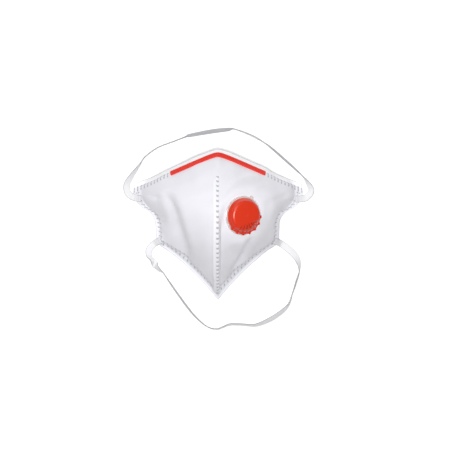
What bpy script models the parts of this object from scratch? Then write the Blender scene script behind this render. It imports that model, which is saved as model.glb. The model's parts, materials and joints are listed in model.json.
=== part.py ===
"""A disposable dust mask, lying opening down on a table.

The body is four plies of non-woven fabric, folded at the nose and welded along
a curved centre seam. A red nose clip runs under the top edge, an exhalation
valve sits in the wearer's left panel, and two flat elastic straps are welded
to the wings. +Y points to the nose, +X to the wearer's left, +Z away from the
face. The origin is under the middle of the body, on the table.
"""

import math

import bmesh
import bpy
import numpy as np
from mathutils import Matrix

MM = 0.001

# Outline of the body, seen from the front
BODY_HEIGHT = 150 * MM
WING_HALF_WIDTH = 84.5 * MM
WAIST_HALF_WIDTH = 62 * MM
WING_DROP = 34.5 * MM  # from the nose down to the wing's upper corner
CORNER_RISE = 56.5 * MM  # from the chin up to the lower strap's corner
CHIN_SLOPE = 1.25  # rise per run of the lower edge at the chin
NOSE_ROUND = 6 * MM
WING_SIDE = [(0, -1), (0.18, 0), (0.34, -2.5), (0.48, -8)]  # share down, mm from the wing
WAIST_SIDE = [(0.56, 6), (0.67, 1.5), (0.82, 0), (0.94, -0.7), (1, -4.5)]  # mm from the waist

# Shape of the dome
CROWN_HEIGHT = 60 * MM
NOSE_HEIGHT = 19 * MM
NOSE_POWER = 1.8  # how late the ridge turns down towards the nose
CROWN_PLACE = 0.47  # share of the way from the nose to the chin
CHIN_FOOT = 0.975  # share of the way where the ridge comes down to the flange
WING_FOOT = 77 * MM  # half-width of the dome's foot under the wings
FOOT_NARROWS = (0.25, 0.75)  # shares of the way between which it narrows to the waist
FLANGE = 3.5 * MM  # flat welded edge outside the foot, at the waist
SECTION_LEAN = 0.5  # how much of the section falls in a straight line
SECTION_POWER = 4.0  # how sharply it turns down at the foot
FOOT_BLEND = 3 * MM
LEAST_DROP = 5 * MM  # of a section, where the ridge is lower than that

# Plies, from the outside in
FIT_GAP = 0.3 * MM
LAID_GAP = 0.45 * MM  # under pieces laid on curved fabric
COVER_THICK = 0.5 * MM
SUPPORT_THICK = 0.8 * MM
FILTER_THICK = 0.4 * MM
LINING_THICK = 0.4 * MM
STACK = COVER_THICK + SUPPORT_THICK + FILTER_THICK + LINING_THICK + 3 * FIT_GAP

# Centre seam's allowance, lying over towards -X
FIN_WIDTH = 4.6 * MM
FIN_THICK = 1 * MM
FIN_ROOT = 0.9 * MM
FIN_START = 0.173  # share of the way from the nose to the chin
FIN_END = 0.96
FIN_TAPER = 8 * MM

# Nose clip and foam
CLIP_HALF_LENGTH = 49 * MM
CLIP_WIDTH = 5 * MM
CLIP_THICK = 1.9 * MM
CLIP_CHAMFER = 0.4 * MM
CLIP_INSET = 6.25 * MM  # its centre line, from the top edge
WIRE_RADIUS = 0.3 * MM
WIRE_SPREAD = 1.2 * MM  # each wire from the centre line
WIRE_SHORTER = 1.5 * MM
FOAM_HALF_LENGTH = 42 * MM
FOAM_WIDTH = 9 * MM
FOAM_THICK = 3.5 * MM

# Valve
THROAT_RADIUS = 12.9 * MM
THROAT_WALL = 1.5 * MM
RING_RADIUS = 19.5 * MM
RING_THICK = 1.6 * MM
RING_CHAMFER = 0.5 * MM
VALVE_TILT = math.radians(27.5)
VALVE_X = RING_RADIUS * math.cos(VALVE_TILT) + 7 * MM  # the ring stays this clear of the seam
VALVE_Y = 9.1 * MM
VALVE_HEADING = math.radians(-10)  # the direction it leans in, from +X
VALVE_CLOCK = math.radians(20)  # how far its vents are turned from straight down
VALVE_SINK = 2.2 * MM  # the flattened patch, below the dome
PATCH_MARGIN = 4 * MM  # flat fabric outside the ring
PATCH_FADE = 18 * MM  # how far the patch fades out on the side away from the seam
COLLAR_RADIUS = THROAT_RADIUS + 3 * MM
COLLAR_RISE = 0.8 * MM
LUG_ANGLE = math.radians(43)
LUG_SIZE = 4.8 * MM
LUG_REACH = 1.6 * MM
LUG_ROOT = 1.5 * MM  # how deep it starts in the ring
LUG_INSET = 0.2 * MM  # its faces, inside the ring's
SEAT_STANDOFF = 1.5 * MM  # of the sealing rim, above the ring
SEAT_FLANGE_RADIUS = THROAT_RADIUS + 4.1 * MM
SEAT_FLANGE_THICK = 1.5 * MM
SPOKE_WIDTH = 1.3 * MM
SPOKE_DEPTH = 1.6 * MM
SPOKE_SINK = 0.4 * MM  # of the spokes' tops, below the rim
SPOKE_STAGGER = 0.05 * MM  # each spoke is lower than the last, so that no two share a face
SPOKES = 3
FLAP_RADIUS = THROAT_RADIUS + 0.7 * MM
FLAP_THICK = 0.5 * MM
HINGE_OFFSET = FLAP_RADIUS - 2.6 * MM  # hinge line above the valve's centre
RIB_HALF_WIDTH = 6 * MM  # rib that holds the flap down at its hinge line
RIB_BELOW = 0.6 * MM
RIB_ABOVE = 0.9 * MM
CAP_WALL = 1.3 * MM
CAP_HEIGHT = 7 * MM
CAP_CROWN = 0.5 * MM
CAP_SKIRT = 1.2 * MM  # upright foot of its side
CAP_DRAFT = 1.5 * MM  # how far the side leans in above the skirt
CAP_SHOULDER = 3 * MM
VENTS = 7
VENT_WIDTH = 1.9 * MM
VENT_PITCH = 3.3 * MM
VENT_TOP = -8.5 * MM
VENT_SILL = 2.2 * MM  # of the vents' lower ends, above the rim
THROUGH = 2 * MM  # how far a cutter passes through
LIP_BEADS = 7
LIP_SPREAD = math.radians(130)
BEAD_RADIUS = 1.6 * MM
BEAD_HOLE = 0.5 * MM
BEAD_THICK = 1.6 * MM
BEAD_INSET = 0.25 * MM  # of a bead's edge, outside the cap's inner face
BEAD_LIFT = 0.1 * MM  # above the cap's rim
HOLE_OUTWARD = 0.3 * MM  # of the hole, from the bead's centre

# Straps
STRAP_WIDTH = 6.5 * MM
STRAP_STEP = 5 * MM
TABLE_GAP = 0.05 * MM

# Routes of the straps on the table, in mm, from the weld on the -X wing round to the other.
# They were drawn for a body with its upper and lower corners at these places.
UPPER_DRAWN = (84.5 * MM, 40.5 * MM)
LOWER_DRAWN = (62 * MM, -18.5 * MM)
UPPER_ROUTE = [
    (-77, 26), (-84, 27.3), (-90, 31.8), (-91.2, 39.8), (-86, 49), (-78, 60), (-72.7, 67.8),
    (-60, 77), (-42, 84), (-28, 89.3), (-6, 93.3), (16.7, 95.4), (34, 88.8), (53.4, 76.7),
    (72.6, 59.8), (84, 49), (91.5, 38.8), (93, 33), (88.5, 27.4), (84, 26), (77.5, 25.6),
]
LOWER_ROUTE = [
    (-57, -15.5), (-63.7, -18.8), (-68.8, -24.9), (-68.8, -30.5), (-64.7, -36), (-61.5, -42),
    (-54.5, -48.5), (-47.4, -58.5), (-40.2, -68.8), (-32.1, -80), (-23.9, -90.2), (-14.7, -99),
    (-7.6, -103.2), (-0.4, -104.2), (5.7, -102), (12.8, -99.6), (24, -99.7), (35.3, -100.6),
    (44.4, -98.2), (54.7, -93.2), (64.9, -86), (71, -79), (74, -69.8), (78.1, -56.5),
    (81.2, -46.3), (80.7, -38.2), (77.1, -31), (71, -24.9), (62.8, -18.8), (56.5, -16.3),
]

# Fineness of the meshes
ROWS = 20
DOME_COLUMNS = (0, 0.12, 0.27, 0.42, 0.57, 0.71, 0.83, 0.93, 1)  # shares of the foot's half-width
FLANGE_COLUMNS = 2
TURNS = 32
CLIP_STATIONS = 23
FOAM_STATIONS = 15
FLAP_STATIONS = 27
REST_SAMPLES = 15
EPSILON = 0.2 * MM


# --- the body's surface ---------------------------------------------------


def top_line(x):
    """Y of the body's top edge at x, rounded at the nose."""
    run = np.hypot(WING_HALF_WIDTH, NOSE_ROUND) - NOSE_ROUND
    return BODY_HEIGHT / 2 - WING_DROP / run * (np.hypot(x, NOSE_ROUND) - NOSE_ROUND)


def bottom_line(x):
    """Y of the body's lower edge at x, steepest at the chin."""
    flatten = (CHIN_SLOPE * WAIST_HALF_WIDTH - CORNER_RISE) / WAIST_HALF_WIDTH**2
    return -BODY_HEIGHT / 2 + CHIN_SLOPE * np.abs(x) - flatten * np.square(x)


def share_down(x, y):
    """How far (x, y) is from the top edge (0) to the lower edge (1)."""
    return (top_line(x) - y) / (top_line(x) - bottom_line(x))


def smooth_through(points, steps=8):
    """Points along the Catmull-Rom curve through the given points."""
    p = np.asarray(points, float)
    p = np.vstack([2 * p[0] - p[1], p, 2 * p[-1] - p[-2]])
    t = np.linspace(0, 1, steps, endpoint=False)[:, None]
    spans = [
        0.5 * (2 * b + (c - a) * t + (2 * a - 5 * b + 4 * c - d) * t**2
               + (3 * b - a - 3 * c + d) * t**3)
        for a, b, c, d in zip(p, p[1:], p[2:], p[3:])
    ]
    return np.vstack(spans + [p[-2:-1]])


def side_line(share):
    """Half-width of the body where the rows at this share down end."""
    outline = [(at, WING_HALF_WIDTH + offset * MM) for at, offset in WING_SIDE]
    outline += [(at, WAIST_HALF_WIDTH + offset * MM) for at, offset in WAIST_SIDE]
    curve = smooth_through(outline)
    return np.interp(share, curve[:, 0], curve[:, 1])


def ridge(share):
    """Height of the centre ridge, below zero past the chin's foot."""
    rise = np.clip((CROWN_PLACE - share) / CROWN_PLACE, 0, None)
    fall = np.clip((share - CROWN_PLACE) / (CHIN_FOOT - CROWN_PLACE), 0, None)
    upper = (CROWN_HEIGHT - NOSE_HEIGHT) * rise**NOSE_POWER
    return CROWN_HEIGHT - upper - CROWN_HEIGHT * fall**2


def smoothstep(x):
    """0 below 0, 1 above 1, and an even curve between."""
    x = np.clip(x, 0, 1)
    return x * x * (3 - 2 * x)


def foot_line(share):
    """Half-width of the dome's foot, narrowing from the wings to the waist."""
    start, end = FOOT_NARROWS
    waist_foot = WAIST_HALF_WIDTH - FLANGE
    return WING_FOOT + (waist_foot - WING_FOOT) * smoothstep((share - start) / (end - start))


def above_floor(z):
    """z where it is well over zero, exactly zero well below it, and a fillet between."""
    k = FOOT_BLEND
    return np.where(z > k, z, np.where(z < -k, 0, np.square(z + k) / (4 * k)))


def dome(x, y):
    """Height of the cover's outer face before the valve's patch is flattened."""
    share = share_down(x, y)
    s = np.abs(x) / foot_line(share)
    drop = SECTION_LEAN * s + (1 - SECTION_LEAN) * s**SECTION_POWER
    peak = ridge(share)
    return STACK + above_floor(peak - np.maximum(peak, LEAST_DROP) * drop)


def valve_level():
    """Height of the flattened patch at the valve's centre."""
    return float(dome(VALVE_X, VALVE_Y)) - VALVE_SINK


def height(x, y):
    """Height of the cover's outer face, with a flat patch under the valve.

    The patch fades out before it reaches the seam, and more slowly away from it.
    """
    dx, dy = x - VALVE_X, y - VALVE_Y
    lean_x, lean_y = math.cos(VALVE_HEADING), math.sin(VALVE_HEADING)
    downhill, sideways = lean_x * dx + lean_y * dy, lean_x * dy - lean_y * dx
    far = np.hypot(downhill / math.cos(VALVE_TILT), sideways)
    outward = np.divide(downhill, far, out=np.zeros(np.shape(far)), where=far > 0)
    flat = RING_RADIUS + PATCH_MARGIN
    seam_room = VALVE_X / math.hypot(lean_x * math.cos(VALVE_TILT), lean_y) - flat
    reach = seam_room + PATCH_FADE * (1 + outward) / 2
    weight = 1 - smoothstep((far - flat) / reach)
    plane = valve_level() - math.tan(VALVE_TILT) * downhill
    return dome(x, y) * (1 - weight) + plane * weight


def surface(x, y, lift=0.0):
    """Points lifted off the cover's outer face along its normal (down, if negative)."""
    x, y = np.broadcast_arrays(np.asarray(x, float), np.asarray(y, float))
    normal = normals(x, y)
    return np.stack([x, y, height(x, y)], -1) + lift * normal


def normals(x, y):
    """Outward unit normals of the cover."""
    slope_x = (height(x + EPSILON, y) - height(x - EPSILON, y)) / (2 * EPSILON)
    slope_y = (height(x, y + EPSILON) - height(x, y - EPSILON)) / (2 * EPSILON)
    n = np.stack([-slope_x, -slope_y, np.ones_like(slope_x)], -1)
    return n / np.linalg.norm(n, axis=-1, keepdims=True)


def inside_outline(x, y):
    """True where (x, y) is over the body."""
    share = share_down(x, y)
    return (share >= 0) & (share <= 1) & (np.abs(x) <= side_line(share))


# --- mesh helpers -----------------------------------------------------------


def clear_scene():
    for obj in list(bpy.data.objects):
        bpy.data.objects.remove(obj, do_unlink=True)


def material(name, colour, roughness, metallic=0.0):
    """A Principled BSDF of one colour."""
    mat = bpy.data.materials.new(name)
    mat.use_nodes = True
    shader = mat.node_tree.nodes["Principled BSDF"]
    shader.inputs["Base Color"].default_value = (*colour, 1)
    shader.inputs["Roughness"].default_value = roughness
    shader.inputs["Metallic"].default_value = metallic
    return mat


def add_object(name, points, faces, mat=None, matrix=None):
    """A mesh object with its faces turned outward."""
    mesh = bpy.data.meshes.new(name)
    mesh.from_pydata([tuple(map(float, p)) for p in points], [], faces)
    bm = bmesh.new()
    bm.from_mesh(mesh)
    bmesh.ops.recalc_face_normals(bm, faces=bm.faces)
    bm.to_mesh(mesh)
    bm.free()
    if mat:
        mesh.materials.append(mat)
    obj = bpy.data.objects.new(name, mesh)
    bpy.context.scene.collection.objects.link(obj)
    if matrix is not None:
        obj.matrix_world = matrix
    return obj


def helper(obj):
    """Marks an object as a cutter or an added shape, which isn't a piece."""
    obj.hide_render = True
    obj.display_type = "WIRE"
    return obj


def combine(obj, others, operation):
    """Unites obj with, or cuts it by, each helper in turn."""
    for other in others:
        modifier = obj.modifiers.new(f"{operation.title()} {other.name}", "BOOLEAN")
        modifier.operation = operation
        modifier.object = helper(other)


def grid_faces(rows, columns, start=0):
    """Triangles over a grid of rows by columns points, mirrored about its middle column.

    Plies that share a grid share these diagonals, so that they nest without crossing.
    """
    faces = []
    for r in range(rows - 1):
        for c in range(columns - 1):
            a = start + r * columns + c
            b, d, e = a + 1, a + columns, a + columns + 1
            halves = [(a, b, e), (a, e, d)] if c < (columns - 1) / 2 else [(a, b, d), (b, e, d)]
            faces += halves
    return faces


def sandwich(outer, inner):
    """(points, faces) of the closed solid between two grids of the same shape."""
    rows, columns = outer.shape[:2]
    count = rows * columns
    faces = grid_faces(rows, columns) + [f[::-1] for f in grid_faces(rows, columns, count)]
    rim = [c for c in range(columns)]
    rim += [r * columns + columns - 1 for r in range(1, rows)]
    rim += [(rows - 1) * columns + c for c in range(columns - 2, -1, -1)]
    rim += [r * columns for r in range(rows - 2, 0, -1)]
    for a, b in zip(rim, rim[1:] + rim[:1]):
        faces.append((b, a, a + count, b + count))
    return np.concatenate([outer.reshape(-1, 3), inner.reshape(-1, 3)]), faces


def swept(name, rings, mat):
    """A closed bar through rings of points, with flat ends."""
    stations, around = rings.shape[:2]
    faces = [
        (s * around + k, s * around + (k + 1) % around,
         (s + 1) * around + (k + 1) % around, (s + 1) * around + k)
        for s in range(stations - 1)
        for k in range(around)
    ]
    faces.append(tuple(range(around))[::-1])
    faces.append(tuple((stations - 1) * around + k for k in range(around)))
    return add_object(name, rings.reshape(-1, 3), faces, mat)


def turned(name, profile, mat, matrix):
    """A solid turned about Z from a closed profile of (radius, z) points."""
    angles = np.arange(TURNS) * 2 * math.pi / TURNS
    points, rings = [], []
    for radius, z in profile:
        if radius == 0:
            rings.append([len(points)] * TURNS)
            points.append((0, 0, z))
            continue
        rings.append(list(range(len(points), len(points) + TURNS)))
        points += [(radius * math.cos(a), radius * math.sin(a), z) for a in angles]
    faces = []
    for low, high in zip(rings, rings[1:] + rings[:1]):
        for k in range(TURNS):
            after = (k + 1) % TURNS
            corners = [low[k], low[after], high[after], high[k]]
            corners = [c for i, c in enumerate(corners) if c not in corners[:i]]
            if len(corners) > 2:
                faces.append(tuple(corners))
    obj = add_object(name, points, faces, mat, matrix)
    obj.data.shade_smooth()
    obj.data.set_sharp_from_angle(angle=math.radians(35))
    return obj


def box(name, low, high, matrix):
    """A helper box between two corners."""
    corners = [(x, y, z) for x in (low[0], high[0]) for y in (low[1], high[1])
               for z in (low[2], high[2])]
    faces = [(0, 1, 3, 2), (4, 6, 7, 5), (0, 4, 5, 1), (2, 3, 7, 6), (0, 2, 6, 4), (1, 5, 7, 3)]
    return helper(add_object(name, corners, faces, None, matrix))


def drum(name, radius, low, high, matrix):
    """A helper cylinder about Z."""
    return helper(turned(name, [(0, low), (radius, low), (radius, high), (0, high)], None, matrix))


# --- fabric -------------------------------------------------------------------


def body_grid():
    """x and y of the grid that all four plies share, its columns following the dome's foot."""
    share = np.linspace(0, 1, ROWS + 1)[:, None]
    foot, side = foot_line(share), side_line(share)
    foot = np.minimum(foot, side - FLANGE / 2)
    dome_x = foot * np.array(DOME_COLUMNS)[None, :]
    flange_x = foot + (side - foot) * np.linspace(0, 1, FLANGE_COLUMNS + 1)[None, 1:]
    half = np.hstack([dome_x, flange_x])
    x = np.hstack([-half[:, :0:-1], half])
    return x, (1 - share) * top_line(x) + share * bottom_line(x)


def ply(name, depth, thick, mat):
    """One ply of the body, its outer face this deep under the cover's, with the valve's hole."""
    x, y = body_grid()
    points, faces = sandwich(surface(x, y, -depth), surface(x, y, -depth - thick))
    obj = add_object(name, points, faces, mat)
    hole = THROAT_RADIUS + FIT_GAP
    drum_name = f"{name}_hole"
    combine(obj, [drum(drum_name, hole, -6 * STACK, 6 * STACK, valve_matrix())], "DIFFERENCE")
    return obj


def seam_fin():
    """The welded allowance of the centre seam, a band that leans over the far panel."""
    rows = np.linspace(0, 1, ROWS + 1)
    share = np.linspace(FIN_START, FIN_END, 2 * ROWS)
    y = BODY_HEIGHT * (0.5 - share)
    ends = np.minimum(share - share[0], share[-1] - share) * BODY_HEIGHT
    wide = FIN_WIDTH * (0.25 + 0.75 * smoothstep(ends / FIN_TAPER))
    root = np.full_like(wide, FIN_ROOT)
    section = [
        (root, -0.9 * COVER_THICK), (0.6 * root, 0.7 * FIN_THICK), (-wide, 0.6 * FIN_THICK),
        (-wide, -0.4 * FIN_THICK), (-0.6 * root, -0.7 * COVER_THICK),
    ]
    level = np.interp(share, rows, height(0 * rows, BODY_HEIGHT * (0.5 - rows)))
    base, normal = np.stack([0 * y, y, level], 1), normals(0 * y, y)
    rings = [base + np.outer(across, (1, 0, 0)) + lift * normal for across, lift in section]
    return swept("seam_fin", np.stack(rings, 1), None)


def laid_path(half_length, stations, inset):
    """x and y along a line parallel to the top edge, this far inside it."""
    x = half_length * np.linspace(-1, 1, stations)
    slope = (top_line(x + EPSILON) - top_line(x - EPSILON)) / (2 * EPSILON)
    length = np.hypot(1, slope)
    return x + inset * slope / length, top_line(x) - inset / length


def laid_bar(name, half_length, stations, section, mat, inset=CLIP_INSET):
    """A bar along the nose whose section is (across, lift) points on the fabric."""
    x, y = laid_path(half_length, stations, inset)
    base, normal = surface(x, y), normals(x, y)
    along = np.gradient(base, axis=0)
    across = np.cross(normal, along)
    across /= np.linalg.norm(across, axis=1, keepdims=True)
    rings = [base + a * across + lift * normal for a, lift in section]
    return swept(name, np.stack(rings, 1), mat)


def nose_clip(mat):
    """The red jacket, with a groove under it for each wire."""
    half, chamfer, low = CLIP_WIDTH / 2, CLIP_CHAMFER, LAID_GAP
    groove = WIRE_RADIUS + FIT_GAP
    roof = low + 2 * groove
    section = [(-half, low)]
    for centre in (-WIRE_SPREAD, WIRE_SPREAD):
        section += [(centre - groove, low), (centre - groove, roof),
                    (centre + groove, roof), (centre + groove, low)]
    section += [(half, low), (half, low + CLIP_THICK - chamfer),
                (half - chamfer, low + CLIP_THICK), (chamfer - half, low + CLIP_THICK),
                (-half, low + CLIP_THICK - chamfer)]
    return laid_bar("nose_clip_jacket", CLIP_HALF_LENGTH, CLIP_STATIONS, section, mat)


def nose_wires(mat):
    """Two soft steel wires that hold the clip's bend."""
    lift = LAID_GAP + WIRE_RADIUS + FIT_GAP
    for name, side in (("nose_wire_upper", 1), ("nose_wire_lower", -1)):
        section = [
            (side * WIRE_SPREAD + WIRE_RADIUS * math.cos(a), lift + WIRE_RADIUS * math.sin(a))
            for a in np.arange(6) * math.pi / 3
        ]
        laid_bar(name, CLIP_HALF_LENGTH - WIRE_SHORTER, CLIP_STATIONS, section, mat)


def nose_foam(mat):
    """The sealing foam on the lining, behind the clip."""
    half, top = FOAM_WIDTH / 2, -STACK - LAID_GAP
    section = [(-half, top), (-half, top - FOAM_THICK), (half, top - FOAM_THICK), (half, top)]
    laid_bar("nose_foam", FOAM_HALF_LENGTH, FOAM_STATIONS, section, mat)


# --- valve ----------------------------------------------------------------------


def valve_matrix(across=0.0, up=0.0, out=0.0):
    """Valve frame in the world: Y away from the vents, Z out of the face."""
    place = Matrix.Translation((VALVE_X, VALVE_Y, valve_level()))
    lean = Matrix.Rotation(VALVE_HEADING, 4, "Z") @ Matrix.Rotation(VALVE_TILT, 4, "Y")
    clock = Matrix.Rotation(VALVE_CLOCK - VALVE_HEADING, 4, "Z")
    return place @ lean @ clock @ Matrix.Translation((across, up, out))


def valve_ring(mat):
    """The outer ring that clamps the fabric, with a collar for the cap and a small lug."""
    bore, low, top = THROAT_RADIUS + FIT_GAP, FIT_GAP, FIT_GAP + RING_THICK
    profile = [(bore, low), (RING_RADIUS, low), (RING_RADIUS, top - RING_CHAMFER),
               (RING_RADIUS - RING_CHAMFER, top), (COLLAR_RADIUS, top),
               (COLLAR_RADIUS, top + COLLAR_RISE), (bore, top + COLLAR_RISE)]
    ring = turned("valve_ring", profile, mat, valve_matrix())
    turn = valve_matrix() @ Matrix.Rotation(LUG_ANGLE, 4, "Z")
    lug = box("valve_ring_lug", (RING_RADIUS - LUG_ROOT, -LUG_SIZE / 2, low + LUG_INSET),
              (RING_RADIUS + LUG_REACH, LUG_SIZE / 2, top - LUG_INSET), turn)
    combine(ring, [lug], "UNION")


def rim_level():
    """Height of the seat's sealing rim in the valve frame."""
    return FIT_GAP + RING_THICK + SEAT_STANDOFF


def valve_seat(mat):
    """The inner part: flange on the lining, throat through the fabric, and spokes."""
    low = -STACK - LAID_GAP
    inner = THROAT_RADIUS - THROAT_WALL
    profile = [(inner, low - SEAT_FLANGE_THICK), (SEAT_FLANGE_RADIUS, low - SEAT_FLANGE_THICK),
               (SEAT_FLANGE_RADIUS, low), (THROAT_RADIUS, low), (THROAT_RADIUS, rim_level()),
               (inner, rim_level())]
    seat = turned("valve_seat", profile, mat, valve_matrix())
    reach, top = THROAT_RADIUS - THROAT_WALL / 2, rim_level() - SPOKE_SINK
    spokes = []
    for k in range(SPOKES):
        turn = valve_matrix() @ Matrix.Rotation(k * math.pi / SPOKES, 4, "Z")
        sink = SPOKE_STAGGER * k
        spokes.append(box(f"valve_seat_spoke_{k + 1}",
                          (-reach, -SPOKE_WIDTH / 2, top - SPOKE_DEPTH - sink),
                          (reach, SPOKE_WIDTH / 2, top - sink), turn))
    combine(seat, spokes, "UNION")


def hinge_out():
    """Height of the flap's hinge line in the valve frame."""
    return rim_level() + FIT_GAP + FLAP_THICK / 2


def valve_flap(mat):
    """The silicone flap, a disc cut straight at its hinge line, where its origin is."""
    start = math.asin(HINGE_OFFSET / FLAP_RADIUS)
    angles = np.linspace(math.pi - start, 2 * math.pi + start, FLAP_STATIONS)
    x = FLAP_RADIUS * np.cos(angles)
    y = FLAP_RADIUS * np.sin(angles) - HINGE_OFFSET
    rings = [np.stack([x, y, np.full_like(x, z)], 1) for z in (-FLAP_THICK / 2, FLAP_THICK / 2)]
    flap = swept("valve_flap", np.stack(rings), mat)
    flap.matrix_world = valve_matrix(up=HINGE_OFFSET, out=hinge_out())


def cap_profile(radius, top, low, shoulder):
    """Half section of the cap's outer or inner face, from its rim to its axis."""
    neck = radius - CAP_DRAFT
    turn = [(neck - shoulder * (1 - math.cos(a)), top - shoulder * (1 - math.sin(a)))
            for a in np.radians([0, 30, 60, 90])]
    return [(radius, low), (radius, low + CAP_SKIRT)] + turn + [(0, top + CAP_CROWN)]


def valve_cap(mat):
    """The red cap: a low dome with vents through its lower third and a beaded lower lip."""
    low = 2 * FIT_GAP + RING_THICK
    top = low + CAP_HEIGHT
    inner_radius = COLLAR_RADIUS + FIT_GAP
    radius = inner_radius + CAP_WALL
    inner = cap_profile(inner_radius, top - CAP_WALL, low, CAP_SHOULDER - CAP_WALL / 2)
    cap = turned("valve_cap", cap_profile(radius, top, low, CAP_SHOULDER) + inner[::-1],
                 mat, valve_matrix())
    rib_low = hinge_out() + FLAP_THICK / 2 + FIT_GAP
    rib = box("valve_cap_rib", (-RIB_HALF_WIDTH, HINGE_OFFSET - RIB_BELOW, rib_low),
              (RIB_HALF_WIDTH, HINGE_OFFSET + RIB_ABOVE, top - CAP_WALL / 2), valve_matrix())
    spread = LIP_SPREAD / (LIP_BEADS - 1)
    reach = inner_radius + BEAD_RADIUS + BEAD_INSET
    beads, holes = [], []
    for k in range(LIP_BEADS):
        angle = -math.pi / 2 + (k - (LIP_BEADS - 1) / 2) * spread
        turn = valve_matrix() @ Matrix.Rotation(angle, 4, "Z")
        middle = turn @ Matrix.Translation((reach, 0, low))
        outer = turn @ Matrix.Translation((reach + HOLE_OUTWARD, 0, low))
        beads.append(drum(f"valve_cap_bead_{k + 1}", BEAD_RADIUS, BEAD_LIFT, BEAD_THICK, middle))
        holes.append(drum(f"valve_cap_hole_{k + 1}", BEAD_HOLE, -THROUGH, BEAD_THICK + THROUGH,
                          outer))
    vents = []
    for k in range(VENTS):
        x = (k - (VENTS - 1) / 2) * VENT_PITCH
        vents.append(box(f"valve_cap_vent_{k + 1}",
                         (x - VENT_WIDTH / 2, -radius - THROUGH, low + VENT_SILL),
                         (x + VENT_WIDTH / 2, VENT_TOP, top + THROUGH), valve_matrix()))
    combine(cap, [rib] + beads, "UNION")
    combine(cap, holes + vents, "DIFFERENCE")


# --- straps -----------------------------------------------------------------------


def rest_height(x, y, radius):
    """Height of the axis of a round strand of this radius lying on the table or the fabric."""
    reach = radius + LAID_GAP
    dx, dy = np.meshgrid(*2 * [np.linspace(-reach, reach, REST_SAMPLES)])
    room = reach**2 - dx**2 - dy**2
    over = inside_outline(x + dx, y + dy) & (room >= 0)
    touch = np.where(over, height(x + dx, y + dy) + np.sqrt(np.clip(room, 0, None)), 0)
    return max(radius + TABLE_GAP, float(touch.max()))


def fitted(route, drawn, corner):
    """A route's points in metres, moved with the body's corner from where it was drawn."""
    points = np.array(route) * MM
    return points * (corner[0] / drawn[0], 1) + (0, corner[1] - drawn[1])


def strap(name, route, mat):
    """An elastic strap as a round strand of its width, from wing to wing over the table."""
    curve = smooth_through(route)
    lengths = np.concatenate([[0], np.cumsum(np.linalg.norm(np.diff(curve, axis=0), axis=1))])
    at = np.linspace(0, lengths[-1], round(lengths[-1] / STRAP_STEP) + 1)
    radius = STRAP_WIDTH / 2
    x, y = np.interp(at, lengths, curve[:, 0]), np.interp(at, lengths, curve[:, 1])
    z = np.array([rest_height(*place, radius) for place in zip(x, y)])
    clear = np.maximum.reduce([z, np.append(z[1:], z[-1]), np.append(z[0], z[:-1])])
    points = np.stack([x, y, clear, np.ones_like(x)], 1)
    data = bpy.data.curves.new(name, "CURVE")
    data.dimensions = "3D"
    data.bevel_depth = radius
    data.bevel_resolution = 2
    data.use_fill_caps = True
    spline = data.splines.new("POLY")
    spline.points.add(len(points) - 1)
    spline.points.foreach_set("co", np.ravel(points))
    data.materials.append(mat)
    bpy.context.scene.collection.objects.link(bpy.data.objects.new(name, data))


# --- assembly -----------------------------------------------------------------------


def main():
    clear_scene()
    white = (0.86, 0.86, 0.89)
    red = (0.80, 0.05, 0.02)

    cover = ply("outer_cover", 0, COVER_THICK, material("cover_fabric", white, 0.9))
    combine(cover, [seam_fin()], "UNION")
    depth = COVER_THICK + FIT_GAP
    ply("support_layer", depth, SUPPORT_THICK, material("support_felt", (0.80, 0.80, 0.78), 0.95))
    depth += SUPPORT_THICK + FIT_GAP
    ply("filter_layer", depth, FILTER_THICK, material("filter_web", (0.88, 0.88, 0.86), 0.9))
    depth += FILTER_THICK + FIT_GAP
    ply("inner_lining", depth, LINING_THICK, material("lining_fabric", (0.87, 0.87, 0.88), 0.9))

    nose_clip(material("clip_plastic", red, 0.45))
    nose_wires(material("wire_steel", (0.55, 0.55, 0.56), 0.35, 1.0))
    nose_foam(material("foam", (0.30, 0.31, 0.33), 0.95))

    valve_ring(material("ring_plastic", (0.85, 0.86, 0.86), 0.3))
    valve_seat(material("seat_plastic", (0.83, 0.84, 0.85), 0.4))
    valve_flap(material("flap_silicone", (0.30, 0.05, 0.04), 0.4))
    valve_cap(material("cap_plastic", red, 0.3))

    elastic = material("strap_elastic", (0.88, 0.88, 0.90), 0.8)
    wing = (WING_HALF_WIDTH, BODY_HEIGHT / 2 - WING_DROP)
    waist = (WAIST_HALF_WIDTH, CORNER_RISE - BODY_HEIGHT / 2)
    strap("upper_strap", fitted(UPPER_ROUTE, UPPER_DRAWN, wing), elastic)
    strap("lower_strap", fitted(LOWER_ROUTE, LOWER_DRAWN, waist), elastic)


main()
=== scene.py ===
"""The visual model of a disposable dust mask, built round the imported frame.

The mask lies opening down: +Y points to the nose, +X to the wearer's left and
+Z away from the face. Every fabric ply is one surface worked out from the same
body form as the solids, with the soft creases, hems and welds of the real thing.
"""

import json
import logging
import math
from dataclasses import dataclass, field
from enum import Enum
from typing import Callable, Sequence

import bpy
import numpy as np
from mathutils import Matrix, Vector


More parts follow.
